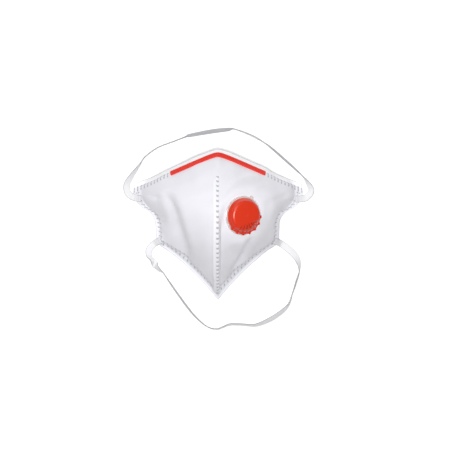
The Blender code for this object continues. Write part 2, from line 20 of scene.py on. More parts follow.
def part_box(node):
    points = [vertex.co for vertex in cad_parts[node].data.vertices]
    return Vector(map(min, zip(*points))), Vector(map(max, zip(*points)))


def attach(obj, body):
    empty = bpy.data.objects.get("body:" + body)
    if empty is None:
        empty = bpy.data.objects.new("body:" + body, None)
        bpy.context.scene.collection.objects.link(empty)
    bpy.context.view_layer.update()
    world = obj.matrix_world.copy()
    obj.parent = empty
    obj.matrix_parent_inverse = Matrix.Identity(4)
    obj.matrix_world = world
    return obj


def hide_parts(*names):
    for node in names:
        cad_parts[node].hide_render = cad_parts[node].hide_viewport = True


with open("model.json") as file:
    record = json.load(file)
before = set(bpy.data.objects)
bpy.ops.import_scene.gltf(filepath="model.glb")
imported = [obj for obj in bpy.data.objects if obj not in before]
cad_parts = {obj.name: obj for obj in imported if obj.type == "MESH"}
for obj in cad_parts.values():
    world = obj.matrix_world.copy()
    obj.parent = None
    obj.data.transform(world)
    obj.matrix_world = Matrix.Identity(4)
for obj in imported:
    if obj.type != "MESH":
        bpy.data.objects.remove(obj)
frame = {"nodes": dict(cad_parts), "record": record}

MM = 0.001
MASK_BODY = "mask"
FLAP_BODY = "flap"
SLOPE_STEP = 0.2 * MM  # how far each way a slope is measured
log = logging.getLogger("dust_mask")

Array = np.ndarray
Socket = bpy.types.NodeSocket
Material = bpy.types.Material
Colour = tuple[float, float, float]


# --- small mathematics ------------------------------------------------------


def smoothstep(x: Array | float) -> Array:
    """0 below 0, 1 above 1, and the even cubic 3x²-2x³ between."""
    x = np.clip(x, 0, 1)
    return x * x * (3 - 2 * x)


def bell(x: Array | float) -> Array:
    """The bell curve exp(-x²)."""
    return np.exp(-np.square(x))


def smooth_through(points: Sequence, steps: int) -> Array:
    """Points along the Catmull-Rom curve through the given points.

    Args:
        points: The points that the curve passes through, one row each.
        steps: How many points to give for each span.

    Returns:
        The points of the curve, one row each, ending on the last given point.
    """
    p = np.asarray(points, float)
    p = np.vstack([2 * p[0] - p[1], p, 2 * p[-1] - p[-2]])
    t = np.linspace(0, 1, steps, endpoint=False)[:, None]
    spans = [
        0.5 * (2 * b + (c - a) * t + (2 * a - 5 * b + 4 * c - d) * t**2
               + (3 * b - a - 3 * c + d) * t**3)
        for a, b, c, d in zip(p, p[1:], p[2:], p[3:])
    ]
    return np.vstack(spans + [p[-2:-1]])


def run_lengths(points: Array) -> Array:
    """Distance along a line of points, from its first point to each one."""
    return np.concatenate([[0], np.cumsum(np.linalg.norm(np.diff(points, axis=0), axis=1))])


def evenly(points: Array, spacing: float) -> Array:
    """The same line, with its points this far apart, whatever their number of columns."""
    run = run_lengths(points[:, :2])
    at = np.linspace(0, run[-1], max(2, round(run[-1] / spacing)) + 1)
    return np.stack([np.interp(at, run, column) for column in points.T], 1)


def soften(values: Array, reach: int) -> Array:
    """A running bell-weighted mean over this many neighbours on each side."""
    weights = bell(np.linspace(-2, 2, 2 * reach + 1))
    padded = np.concatenate([np.full(reach, values[0]), values, np.full(reach, values[-1])])
    return np.convolve(padded, weights / weights.sum(), "valid")


def unit(vectors: Array) -> Array:
    """Each vector divided by its length."""
    return vectors / np.maximum(np.linalg.norm(vectors, axis=-1, keepdims=True), 1e-12)


def slope_of(line: Callable[[Array], Array], x: Array) -> Array:
    """Slope of a line at x, from a small step each way."""
    return (line(x + SLOPE_STEP) - line(x - SLOPE_STEP)) / (2 * SLOPE_STEP)


def grid_normals(points: Array) -> Array:
    """Unit normals of a grid, the cross product of its column and row steps."""
    return unit(np.cross(np.gradient(points, axis=1), np.gradient(points, axis=0)))


def triple(a: Array | float, b: Array | float, c: Array | float) -> Array:
    """Three coordinates stacked last, each first spread to the shape of all."""
    return np.stack(np.broadcast_arrays(a, b, c), -1)


def there_and_back(start: float, end: float, count: int) -> tuple[Array, Array]:
    """Shares from start to end and back, in a row, and which are on the way there."""
    out = np.linspace(start, end, count)
    return np.concatenate([out, out[::-1]])[None, :], np.repeat([1.0, 0.0], count)[None, :]


def drawn_in(rings: Array, keep: Array) -> Array:
    """Rings of points drawn in towards their middles, each to its own share of its size."""
    middle = rings.mean(axis=1, keepdims=True)
    return middle + (rings - middle) * keep[:, None, None]


def scaled(colour: Colour, share: float) -> Colour:
    """A colour with every channel times a share."""
    return tuple(channel * share for channel in colour)


# --- mesh making --------------------------------------------------------------


@dataclass
class Shell:
    """Points and quads that build up into one mesh, with values carried by its points."""

    points: list[Array] = field(default_factory=list)
    quads: list[Array] = field(default_factory=list)
    carried: dict[str, list[Array]] = field(default_factory=dict)
    count: int = 0

    def add(self, points: Array, quads: Array, **carried: Array) -> None:
        """Adds one patch.

        Args:
            points: Its points, one row each.
            quads: Its faces, four point numbers each, counted within the patch.
            **carried: Vectors carried by its points, three numbers each.
        """
        self.points.append(points.reshape(-1, 3))
        self.quads.append(quads + self.count)
        self.count += len(self.points[-1])
        for name, values in carried.items():
            self.carried.setdefault(name, []).append(values.reshape(-1, 3))

    def bar(self, rings: Array, closed: bool = False, **carried: Array) -> None:
        """Adds a tube through rings of points, with flat ends unless it is closed.

        Args:
            rings: Stations by points round by 3.
            closed: Whether the last ring meets the first one.
            **carried: Vectors carried by the points, in the same layout.
        """
        stations, around = rings.shape[:2]
        s = np.arange(stations if closed else stations - 1)[:, None]
        k = np.arange(around)[None, :]
        after, beside = (s + 1) % stations, (k + 1) % around
        quads = np.stack(np.broadcast_arrays(
            s * around + k, s * around + beside, after * around + beside, after * around + k,
        ), -1).reshape(-1, 4)
        if not closed:
            first = fan(around)
            quads = np.vstack([quads, first[:, ::-1], first + (stations - 1) * around])
        self.add(rings, quads, **carried)

    def build(self, name: str, slot: str, smooth_angle: float) -> bpy.types.Object:
        """Makes the mesh and its object.

        Args:
            name: The piece's name.
            slot: The record's material slot; not used.
            smooth_angle: Edges sharper than this, in degrees, stay crisp.

        Returns:
            The new object, at the origin.
        """
        points, quads = np.concatenate(self.points), np.concatenate(self.quads)
        thin = quads[:, 2] == quads[:, 3]
        sizes = np.where(thin, 3, 4)
        corners = quads[np.arange(4)[None, :] < sizes[:, None]]
        mesh = bpy.data.meshes.new(name)
        mesh.vertices.add(len(points))
        mesh.vertices.foreach_set("co", points.ravel())
        mesh.loops.add(len(corners))
        mesh.loops.foreach_set("vertex_index", corners)
        mesh.polygons.add(len(quads))
        mesh.polygons.foreach_set("loop_start", np.cumsum(sizes) - sizes)
        for label, patches in self.carried.items():
            attribute = mesh.attributes.new(label, "FLOAT_VECTOR", "POINT")
            attribute.data.foreach_set("vector", np.concatenate(patches).ravel())
        mesh.update(calc_edges=True)
        mesh.validate()
        mesh.shade_smooth()
        mesh.set_sharp_from_angle(angle=math.radians(smooth_angle))
        piece = linked(name, mesh)
        log.info("%s: %d points, %d faces", name, len(points), len(quads))
        return piece


def linked(name: str, data: bpy.types.ID) -> bpy.types.Object:
    """A new object for this data, put in the scene."""
    made = bpy.data.objects.new(name, data)
    bpy.context.scene.collection.objects.link(made)
    return made


def node_slot(node: str) -> str:
    """The record's slot of a node."""
    return next(part["material_slot"] for part in frame["record"]["subparts"]
                if part["node"] == node)


def dress(piece: bpy.types.Object, material: Material) -> None:
    """Gives a piece one material in place of what it had."""
    piece.data.materials.clear()
    piece.data.materials.append(material)


def settle(shell: Shell, name: str, node: str, body: str, material: Material,
           smooth_angle: float) -> bpy.types.Object:
    """Makes a piece from its shell, dresses it and puts it in its node's place.

    Args:
        shell: Its points and faces.
        name: The piece's name.
        node: The CAD node that it stands for.
        body: The body that it rides on.
        material: Its finish.
        smooth_angle: Edges sharper than this, in degrees, stay crisp.

    Returns:
        The piece.
    """
    piece = shell.build(name, node_slot(node), smooth_angle)
    dress(piece, material)
    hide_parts(node)
    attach(piece, body)
    return piece


def fan(around: int) -> Array:
    """Quads that close a ring of points, as a strip folded across it.

    Args:
        around: How many points the ring has.

    Returns:
        Faces of four point numbers, where a repeated last number marks a triangle.
    """
    low, high = np.arange(around // 2), around - 1 - np.arange(around // 2)
    quads = np.stack([low[:-1], low[1:], high[1:], high[:-1]], 1)
    if around % 2:
        middle = around // 2
        quads = np.vstack([quads, [low[-1], middle, high[-1], high[-1]]])
    return quads


def grid_quads(rows: int, columns: int) -> Array:
    """Faces over a grid, as an array of rows-1 by columns-1 by 4 point numbers."""
    r, c = np.mgrid[0:rows - 1, 0:columns - 1]
    a = r * columns + c
    return np.stack([a, a + 1, a + columns + 1, a + columns], -1)


def sandwich(outer: Array, inner: Array, kept: Array) -> tuple[Array, Array]:
    """The closed solid between two grids, without the cells that aren't kept.

    A wall is put along every cell edge that has a kept cell on one side only.

    Args:
        outer: Rows by columns by 3; its faces keep the grid's turning direction.
        inner: The same grid, one wall thickness further in.
        kept: Which cells stay.

    Returns:
        The points, and the faces of four point numbers each.
    """
    rows, columns = outer.shape[:2]
    cells = grid_quads(rows, columns)
    count = rows * columns
    quads = [cells[kept], cells[kept][:, ::-1] + count]
    ringed = np.pad(kept, 1)
    neighbours = (ringed[:-2, 1:-1], ringed[1:-1, 2:], ringed[2:, 1:-1], ringed[1:-1, :-2])
    for edge, beside in enumerate(neighbours):
        open_cells = cells[kept & ~beside]
        a, b = open_cells[:, edge], open_cells[:, (edge + 1) % 4]
        quads.append(np.stack([b, a, a + count, b + count], 1))
    return np.concatenate([outer.reshape(-1, 3), inner.reshape(-1, 3)]), np.concatenate(quads)


def turned_rings(profile: Array, matrix: Matrix, turns: int) -> Array:
    """A closed profile of (radius, height) points turned about a matrix's Z.

    Args:
        profile: Points of the profile, in order round it.
        matrix: The frame that it turns in.
        turns: How many stations there are round.

    Returns:
        Stations by profile points by 3, in the row frame.
    """
    angle = np.arange(turns)[:, None] * 2 * math.pi / turns
    radius, height = profile[None, :, 0], profile[None, :, 1]
    return placed(triple(radius * np.cos(angle), radius * np.sin(angle), height), matrix)


def placed(points: Array, matrix: Matrix) -> Array:
    """The points after a matrix has moved them."""
    m = np.array(matrix)
    return points @ m[:3, :3].T + m[:3, 3]


def rounded_profile(corners: Sequence[tuple[float, float]], radius: float,
                    steps: int = 4) -> Array:
    """A closed outline with each corner rounded.

    Every corner becomes a quadratic Bezier arc between points this far from it
    on its two sides, or a third of a shorter side.

    Args:
        corners: The outline's corners, in order.
        radius: How far the rounding reaches along each side.
        steps: How many points there are in each rounding, less one.

    Returns:
        The outline's points, one row each.
    """
    p = np.asarray(corners, float)
    before, after = np.roll(p, 1, 0) - p, np.roll(p, -1, 0) - p
    reach = [np.minimum(radius, np.linalg.norm(side, axis=1) / 3)[:, None]
             for side in (before, after)]
    start, end = p + unit(before) * reach[0], p + unit(after) * reach[1]
    t = np.linspace(0, 1, steps + 1)[None, :, None]
    arcs = (1 - t)**2 * start[:, None] + 2 * t * (1 - t) * p[:, None] + t**2 * end[:, None]
    return arcs.reshape(-1, 2)


def rounded_box(low: tuple[float, float], high: tuple[float, float], radius: float) -> Array:
    """The rounded outline of a box between two opposite corners."""
    return rounded_profile([low, (high[0], low[1]), high, (low[0], high[1])], radius)


# --- finishes -------------------------------------------------------------------


class Shader:
    """A material's node tree, with short ways to add the nodes that the finishes use."""

    def __init__(self, name: str) -> None:
        """Starts a material with an empty Principled BSDF.

        Args:
            name: The material's name.
        """
        self.material = bpy.data.materials.new(name)
        self.material.use_nodes = True
        self.tree = self.material.node_tree
        self.surface = self.tree.nodes["Principled BSDF"]

    def fix(self, **values: float | tuple) -> None:
        """Sets shader sockets to constants, named with _ for each space."""
        for name, value in values.items():
            socket = self.surface.inputs[name.replace("_", " ")]
            colour = socket.type == "RGBA"
            socket.default_value = (*value, 1) if colour else value

    def node(self, kind: str, inputs: dict | None = None, **settings: object) -> bpy.types.Node:
        """Adds a node.

        Args:
            kind: Its type, without the ShaderNode at the front.
            inputs: Sockets to link or numbers to set, by the socket's name or number.
            **settings: The node's own properties.

        Returns:
            The node.
        """
        node = self.tree.nodes.new("ShaderNode" + kind)
        for name, value in settings.items():
            setattr(node, name, value)
        for name, value in (inputs or {}).items():
            if isinstance(value, Socket):
                self.tree.links.new(value, node.inputs[name])
            else:
                node.inputs[name].default_value = value
        return node

    def place(self) -> Socket:
        """The piece's own object coordinates, in metres."""
        return self.node("TexCoord").outputs["Object"]

    def carried(self, name: str) -> tuple[Socket, ...]:
        """The three numbers that the mesh carries under a name."""
        vector = self.node("Attribute", attribute_name=name).outputs["Vector"]
        return tuple(self.node("SeparateXYZ", {0: vector}).outputs)

    def math(self, operation: str, a: Socket | float, b: Socket | float = 0.0,
             clamp: bool = False) -> Socket:
        """One sum: operation on a and b.

        Args:
            operation: The Math node's operation.
            a: First number.
            b: Second number.
            clamp: Whether the result is kept between 0 and 1.

        Returns:
            The result.
        """
        node = self.node("Math", {0: a, 1: b}, operation=operation, use_clamp=clamp)
        return node.outputs[0]

    def plus(self, a: Socket | float, b: Socket | float, clamp: bool = False) -> Socket:
        """The sum of two values."""
        return self.math("ADD", a, b, clamp)

    def minus(self, a: Socket | float, b: Socket | float) -> Socket:
        """The first value less the second."""
        return self.math("SUBTRACT", a, b)

    def times(self, a: Socket | float, b: Socket | float, clamp: bool = False) -> Socket:
        """The product of two values."""
        return self.math("MULTIPLY", a, b, clamp)

    def noise(self, scale: float, detail: float = 2.0, roughness: float = 0.5,
              stretch: tuple[float, float, float] = (1, 1, 1),
              where: Socket | None = None) -> Socket:
        """Soft noise, from 0 to 1.

        Args:
            scale: Lumps in each metre.
            detail: Octaves.
            roughness: How strong the finer octaves are.
            stretch: Scale along each axis.
            where: The coordinates, or None for the piece's own.

        Returns:
            The noise value.
        """
        where = where or self.place()
        if stretch != (1, 1, 1):
            where = self.node("Mapping", {0: where, 3: stretch}).outputs[0]
        inputs = {"Vector": where, "Scale": scale, "Detail": detail, "Roughness": roughness}
        return self.node("TexNoise", inputs).outputs["Fac"]

    def band(self, value: Socket, centre: float, half: float, soft: float) -> Socket:
        """1 where value is within half of centre, falling to 0 over soft outside that."""
        off = self.math("ABSOLUTE", self.minus(value, centre))
        return self.math("DIVIDE", self.minus(half + soft, off), soft, clamp=True)

    def stripes(self, value: Socket, pitch: float, half: float, soft: float) -> Socket:
        """Bands of this half-width, repeated at a pitch along value."""
        turn = self.math("FRACT", self.math("DIVIDE", value, pitch))
        return self.band(self.times(turn, pitch), pitch / 2, half, soft)

    def mix(self, share: Socket, low: Colour | Socket, high: Colour | Socket) -> Socket:
        """A colour from low to high by share."""
        node = self.node("Mix", {0: share}, data_type="RGBA")
        for number, colour in ((6, low), (7, high)):
            if isinstance(colour, Socket):
                self.tree.links.new(colour, node.inputs[number])
            else:
                node.inputs[number].default_value = (*colour, 1)
        return node.outputs[2]

    def spread(self, value: Socket, low: float, high: float) -> Socket:
        """Value from 0 to 1 carried over to the range from low to high."""
        return self.node("MapRange", {0: value, 3: low, 4: high}).outputs[0]

    def bump(self, height: Socket, distance: float, strength: float = 1.0,
             over: Socket | None = None) -> Socket:
        """Raises the surface by height times distance in metres, over an earlier bump."""
        inputs = {"Height": height, "Distance": distance, "Strength": strength}
        node = self.node("Bump", inputs)
        if over is not None:
            self.tree.links.new(over, node.inputs["Normal"])
        return node.outputs["Normal"]

    def use(self, **sockets: Socket) -> Material:
        """Links sockets into the shader and gives the finished material."""
        for name, socket in sockets.items():
            self.tree.links.new(socket, self.surface.inputs[name.replace("_", " ")])
        return self.material


@dataclass(frozen=True)
class WeldRow:
    """A row of welds along an edge, each a pair of pressed dots or a slanted one.

    Spread is how far each dot of a pair is from the row's middle, and slant is how
    far a dot moves along the row for each step across it.
    """

    carried: str
    pitch: float
    inset: float
    half_along: float
    half_across: float
    start: float
    end: float
    spread: float = 0.0
    slant: float = 0.0
    dent_softness: float = 0.5 * MM
    tint_softness: float = 0.35 * MM
    end_softness: float = 0.1 * MM

    def marks(self, along: Array, inset: Array) -> Array:
        """How deep in a mark each point is, from 0 to 1.

        Args:
            along: Distance along the edge.
            inset: Distance in from the edge.

        Returns:
            1 in a mark and 0 away from it.
        """
        soft = self.dent_softness
        along = along + self.slant * (inset - self.inset)
        off = np.abs((along / self.pitch) % 1 - 0.5) * self.pitch
        across = np.abs(np.abs(inset - self.inset) - self.spread)
        a = np.clip((self.half_along + soft - off) / soft, 0, 1)
        b = np.clip((self.half_across + soft - across) / soft, 0, 1)
        return a * b * ((along > self.start) & (along < self.end))

    def pattern(self, shader: Shader) -> Socket:
        """The same marks in a material's nodes."""
        along, inset, _ = shader.carried(self.carried)
        offset = shader.minus(inset, self.inset)
        leaning = shader.plus(along, shader.times(offset, self.slant))
        soft = self.tint_softness
        a = shader.stripes(leaning, self.pitch, self.half_along, soft)
        b = shader.band(shader.math("ABSOLUTE", offset), self.spread, self.half_across, soft)
        middle, half = (self.start + self.end) / 2, (self.end - self.start) / 2
        c = shader.band(along, middle, half, self.end_softness)
        return shader.times(shader.times(a, b), c)


EDGES = ("top_weld", "side_weld", "low_weld")  # what the mesh carries for each kind of edge


@dataclass(frozen=True)
class NonwovenFinish:
    """Spunbond fabric: bonded points, fine tangled fibres, a faint cloud and pressed welds.

    The allowance is the seam's welded band and the rim is the hem at the top edge.
    Both are painted lighter by their shares: a painted highlight on them.
    """

    name: str
    colour: Colour = (0.790, 0.790, 0.835)
    weld_colour: Colour = (0.40, 0.40, 0.45)
    # painted shade along the cut edges and where the next ply ends
    edge_shade_colour: Colour = (0.42, 0.42, 0.46)
    # painted highlight on the seam's allowance and the top hem
    painted_highlight_colour: Colour = (0.90, 0.90, 0.92)
    bond_pitch: float = 1.1 * MM
    bond_half: float = 0.16 * MM
    bond_soft: float = 0.3 * MM
    bond_share: float = 0.12
    fibre_depth: float = 0.05 * MM
    allowance_width: float = 4.0 * MM
    allowance_highlight_share: float = 0.35
    rim_width: float = 3.6 * MM
    rim_highlight_share: float = 0.9
    weld_share: float = 0.85
    weld_depth: float = 0.35 * MM
    cut_shade_share: float = 0.75
    ply_inset: float = 1.7 * MM
    ply_shade_share: float = 0.12
    rows: tuple[WeldRow, ...] = ()

    def material(self) -> Material:
        """Builds the material.

        Returns:
            A rough white fabric. Its colour varies by up to seven parts in a hundred
            with a cloud and with its fibres, which are noise drawn out two ways. Its
            bonded points are dots in a diamond grid over the carried cloth
            coordinates. Its cut edge is painted darker as shade, and a faint painted shade line
            inside it shows where the next ply ends. The seam's allowance and the top hem are
            painted lighter as highlight.
        """
        shader = Shader(self.name)
        shader.fix(Roughness=0.88, Sheen_Weight=0.25, Sheen_Roughness=0.45,
                   Specular_IOR_Level=0.25, Subsurface_Weight=0.0)
        across, along, _ = shader.carried("cloth")
        dots = shader.times(*(
            shader.stripes(diagonal, self.bond_pitch, self.bond_half, self.bond_soft)
            for diagonal in (shader.plus(across, along), shader.minus(across, along))))
        cloth = shader.node("Attribute", attribute_name="cloth").outputs["Vector"]
        fibres = shader.plus(shader.noise(900, 5, 0.7, (1, 3.2, 1), cloth),
                             shader.noise(1100, 5, 0.7, (3.2, 1, 1), cloth))
        cloud = shader.noise(70, 4, 0.6, where=cloth)
        tangle = shader.plus(shader.times(cloud, 0.5), shader.times(fibres, 0.25))
        colour = shader.mix(tangle, scaled(self.colour, 0.93), self.colour)
        colour = shader.mix(shader.times(dots, self.bond_share), colour, self.weld_colour)
        relief = shader.minus(shader.times(fibres, 0.6), dots)
        normal = shader.bump(relief, self.fibre_depth, 0.6)
        # Painted highlight: the seam's allowance and the top hem are mixed towards a lighter
        # colour.
        for carried, width, soft, share in (
            ("seam_weld", self.allowance_width, 0.5 * MM, self.allowance_highlight_share),
            ("top_weld", self.rim_width, 0.6 * MM, self.rim_highlight_share),
        ):
            pressed = shader.band(shader.carried(carried)[1], 0, width, soft)
            colour = shader.mix(shader.times(pressed, share), colour, self.painted_highlight_colour)
        for row in self.rows:
            mark = row.pattern(shader)
            colour = shader.mix(shader.times(mark, self.weld_share), colour, self.weld_colour)
            normal = shader.bump(shader.times(mark, -1.0), self.weld_depth, 0.8, normal)
        # Painted shade: a darker line along each cut edge, and a faint one where the next ply
        # ends.
        for name in EDGES:
            inset = shader.carried(name)[1]
            cut = shader.band(inset, 0, 0.25 * MM, 0.35 * MM)
            ply = shader.band(inset, self.ply_inset, 0.1 * MM, 0.35 * MM)
            line = shader.math("MAXIMUM", shader.times(cut, self.cut_shade_share),
                               shader.times(ply, self.ply_shade_share))
            colour = shader.mix(line, colour, self.edge_shade_colour)
        return shader.use(Base_Color=colour, Normal=normal)


@dataclass(frozen=True)
class FeltFinish:
    """Needle-punched felt or melt-blown web: tangled fibres and no bonded points."""

    name: str
    colour: Colour
    lump: float = 500.0

    def material(self) -> Material:
        """Builds a rough fabric with clouded colour and drawn-out fibre noise."""
        shader = Shader(self.name)
        shader.fix(Roughness=0.95, Sheen_Weight=0.3, Specular_IOR_Level=0.2)
        fibres = shader.noise(self.lump, 6, 0.75, (1, 2.5, 1))
        colour = shader.mix(fibres, scaled(self.colour, 0.85), self.colour)
        return shader.use(Base_Color=colour, Normal=shader.bump(fibres, 0.12 * MM, 0.7))


@dataclass(frozen=True)
class MouldedFinish:
    """Moulded plastic: an even colour with faint flow, a fine texture and lighter convex edges."""

    name: str
    colour: Colour
    roughness: float = 0.35
    grain: float = 1400.0
    grain_depth: float = 0.012 * MM
    clearness: float = 0.0
    softness: float = 0.0
    gloss: float = 0.5

    def material(self) -> Material:
        """Builds the plastic.

        Returns:
            A material whose colour flows by a few parts in a hundred, is a little lighter
            on sharp convex edges, and whose gloss varies with a fine moulded grain.
        """
        shader = Shader(self.name)
        shader.fix(Coat_Weight=0.15, Coat_Roughness=0.2, Transmission_Weight=self.clearness,
                   Subsurface_Weight=self.softness, Subsurface_Scale=0.002,
                   Subsurface_Radius=(1.0, 0.35, 0.25), IOR=1.49,
                   Specular_IOR_Level=self.gloss)
        flow = shader.noise(55, 3, 0.5, (1, 1, 2.5))
        grain = shader.noise(self.grain, 2)
        colour = shader.mix(flow, scaled(self.colour, 0.90), self.colour)
        # Sharp convex edges, found by pointiness, are mixed a little lighter.
        bent = shader.node("NewGeometry").outputs["Pointiness"]
        edge = shader.times(shader.minus(bent, 0.53), 6.0, clamp=True)
        convex_edge_tint = tuple(min(1.0, channel * 1.1 + 0.05) for channel in self.colour)
        colour = shader.mix(edge, colour, convex_edge_tint)
        rough = shader.spread(shader.noise(260, 3), self.roughness - 0.05, self.roughness + 0.07)
        return shader.use(Base_Color=colour, Roughness=rough,
                          Normal=shader.bump(grain, self.grain_depth, 0.5))


@dataclass(frozen=True)
class ElasticFinish:
    """Flat knitted elastic: lengthwise ribs crossed by fine weft, with fuzz."""

    name: str
    colour: Colour = (0.80, 0.80, 0.82)
    # painted shade on the band's back face
    back_shade_colour: Colour = (0.44, 0.44, 0.46)
    # painted shade along the band's edges
    edge_shade_colour: Colour = (0.27, 0.27, 0.30)
    bar_colour: Colour = (0.62, 0.62, 0.68)
    half_width: float = 3.25 * MM
    ribs: float = 1.05 * MM
    weft: float = 0.8 * MM
    bars: float = 1.9 * MM

    def material(self) -> Material:
        """Builds the elastic.

        Returns:
            A rough white band. Its back face is painted greyer as shade and its edges are
            painted darker as shade. The furrows between its ribs are painted darker as shade,
            weft stitches lean one way on each rib, and pressed bars mark its welded ends.
        """
        shader = Shader(self.name)
        shader.fix(Roughness=0.82, Sheen_Weight=0.35, Sheen_Roughness=0.4, Specular_IOR_Level=0.3)
        along, across, end = shader.carried("band")
        rib = shader.stripes(across, self.ribs, 0.30 * MM, 0.22 * MM)
        lean = shader.plus(along, shader.times(across, 0.6))
        stitch = shader.stripes(lean, self.weft, 0.22 * MM, 0.2 * MM)
        height = shader.times(rib, shader.plus(stitch, 0.8))
        # Painted shade: the low furrows between the ribs and the stitches are painted darker.
        share = shader.plus(shader.times(height, 0.5), 0.3, clamp=True)
        colour = shader.mix(share, scaled(self.colour, 0.80), self.colour)
        # Painted shade: the band's back face is mixed towards a greyer colour.
        colour = shader.mix(shader.carried("back")[0], colour, self.back_shade_colour)
        out = shader.math("ABSOLUTE", across)
        # Painted shade: the band's edges are mixed towards a darker colour.
        edge = shader.band(out, self.half_width, 0.20 * MM, 0.25 * MM)
        colour = shader.mix(shader.times(edge, 0.8), colour, self.edge_shade_colour)
        bars = shader.stripes(end, self.bars, 0.35 * MM, 0.25 * MM)
        bars = shader.times(bars, shader.band(end, 4.2 * MM, 2.9 * MM, 0.1 * MM))
        colour = shader.mix(shader.times(bars, 0.35), colour, self.bar_colour)
        fuzz = shader.bump(shader.noise(1500, 4, 0.7), 0.04 * MM, 0.5)
        knit = shader.bump(height, 0.10 * MM, 0.7, fuzz)
        normal = shader.bump(shader.times(bars, -1.0), 0.2 * MM, 0.7, knit)
        return shader.use(Base_Color=colour, Normal=normal)


@dataclass(frozen=True)
class FoamFinish:
    """Open-cell foam: small pores, painted darker as shade, between paler walls."""

    name: str
    colour: Colour = (0.36, 0.37, 0.39)

    def material(self) -> Material:
        """Builds the foam from cell distances, which sink each pore and darken it with painted
        shade.
        """
        shader = Shader(self.name)
        shader.fix(Roughness=0.95, Specular_IOR_Level=0.2)
        cells = shader.node("TexVoronoi", {"Vector": shader.place(), "Scale": 1300.0})
        wall = shader.times(cells.outputs["Distance"], 1.4, clamp=True)
        # Painted shade: the sunken pores are mixed towards a darker colour.
        colour = shader.mix(wall, scaled(self.colour, 0.45), self.colour)
        return shader.use(Base_Color=colour, Normal=shader.bump(wall, 0.25 * MM, 0.8))


@dataclass(frozen=True)
class SiliconeFinish:
    """Thin cast silicone, a little cloudy, with a soft gloss."""

    name: str
    colour: Colour = (0.30, 0.05, 0.04)

    def material(self) -> Material:
        """Builds a translucent rubber with faint casting marks."""
        shader = Shader(self.name)
        shader.fix(Subsurface_Weight=0.3, Subsurface_Scale=0.002, IOR=1.41,
                   Subsurface_Radius=(1.0, 0.8, 0.6))
        colour = shader.mix(shader.noise(120, 3), scaled(self.colour, 0.92), self.colour)
        rough = shader.spread(shader.noise(400, 2), 0.30, 0.42)
        return shader.use(Base_Color=colour, Roughness=rough,
                          Normal=shader.bump(shader.noise(900, 2), 0.01 * MM, 0.4))


@dataclass(frozen=True)
class WireFinish:
    """Annealed wire with drawing lines and a dull zinc bloom."""

    name: str

    def material(self) -> Material:
        """Builds a rough metal streaked along X."""
        shader = Shader(self.name)
        shader.fix(Metallic=1.0)
        lines = shader.noise(2500, 3, 0.6, (0.05, 1, 1))
        colour = shader.mix(lines, (0.42, 0.42, 0.44), (0.62, 0.62, 0.64))
        rough = shader.spread(lines, 0.30, 0.5)
        return shader.use(Base_Color=colour, Roughness=rough,
                          Normal=shader.bump(lines, 0.01 * MM, 0.5))


@dataclass(frozen=True)
class FloorFinish:
    """A plain pale studio floor."""

    name: str
    colour: Colour = (0.97, 0.97, 0.97)

    def material(self) -> Material:
        """Builds an even matt white."""
        shader = Shader(self.name)
        shader.fix(Base_Color=self.colour, Roughness=0.9, Specular_IOR_Level=0.1)
        return shader.material


# --- the body's form ------------------------------------------------------------


@dataclass(frozen=True)
class Crease:
    """A soft fold along a line on the fabric, in mm: a valley with a raised shoulder."""

    route: tuple[tuple[float, float], ...]
    depth: float
    width: float
    lean: float = 0.0
    fade: float = 0.3

    def relief(self, x: Array, y: Array) -> Array:
        """Height of the fold over the smooth surface.

        The valley is a bell curve of the distance from the line, the lean adds a
        rise on one side of it, and both fade towards the line's two ends.

        Args:
            x: X of each point, in metres.
            y: Y of each point, in metres.

        Returns:
            The relief, in metres.
        """
        line = smooth_through(np.array(self.route) * MM, 6)
        gap = np.stack([x, y], -1)[..., None, :] - line
        squared = np.sum(gap * gap, -1)
        nearest = np.argmin(squared, -1)
        tangent = unit(np.gradient(line, axis=0))[nearest]
        offset = np.stack([x, y], -1) - line[nearest]
        side = tangent[..., 0] * offset[..., 1] - tangent[..., 1] * offset[..., 0]
        away = np.sqrt(np.min(squared, -1)) / (self.width * MM)
        place = nearest / (len(line) - 1)
        fade = smoothstep(place / self.fade) * smoothstep((1 - place) / self.fade)
        lean = self.lean * side / (self.width * MM)
        return self.depth * MM * fade * (lean - 1) * bell(away)


# How far the side stands out past the wing's and the waist's half-width, in mm, at
# each share of the way down.
WING_SIDE = ((0, -1), (0.18, 0), (0.34, -2.5), (0.48, -8))
WAIST_SIDE = ((0.56, 6), (0.67, 1.5), (0.82, 0), (0.94, -0.7), (1, -4.5))


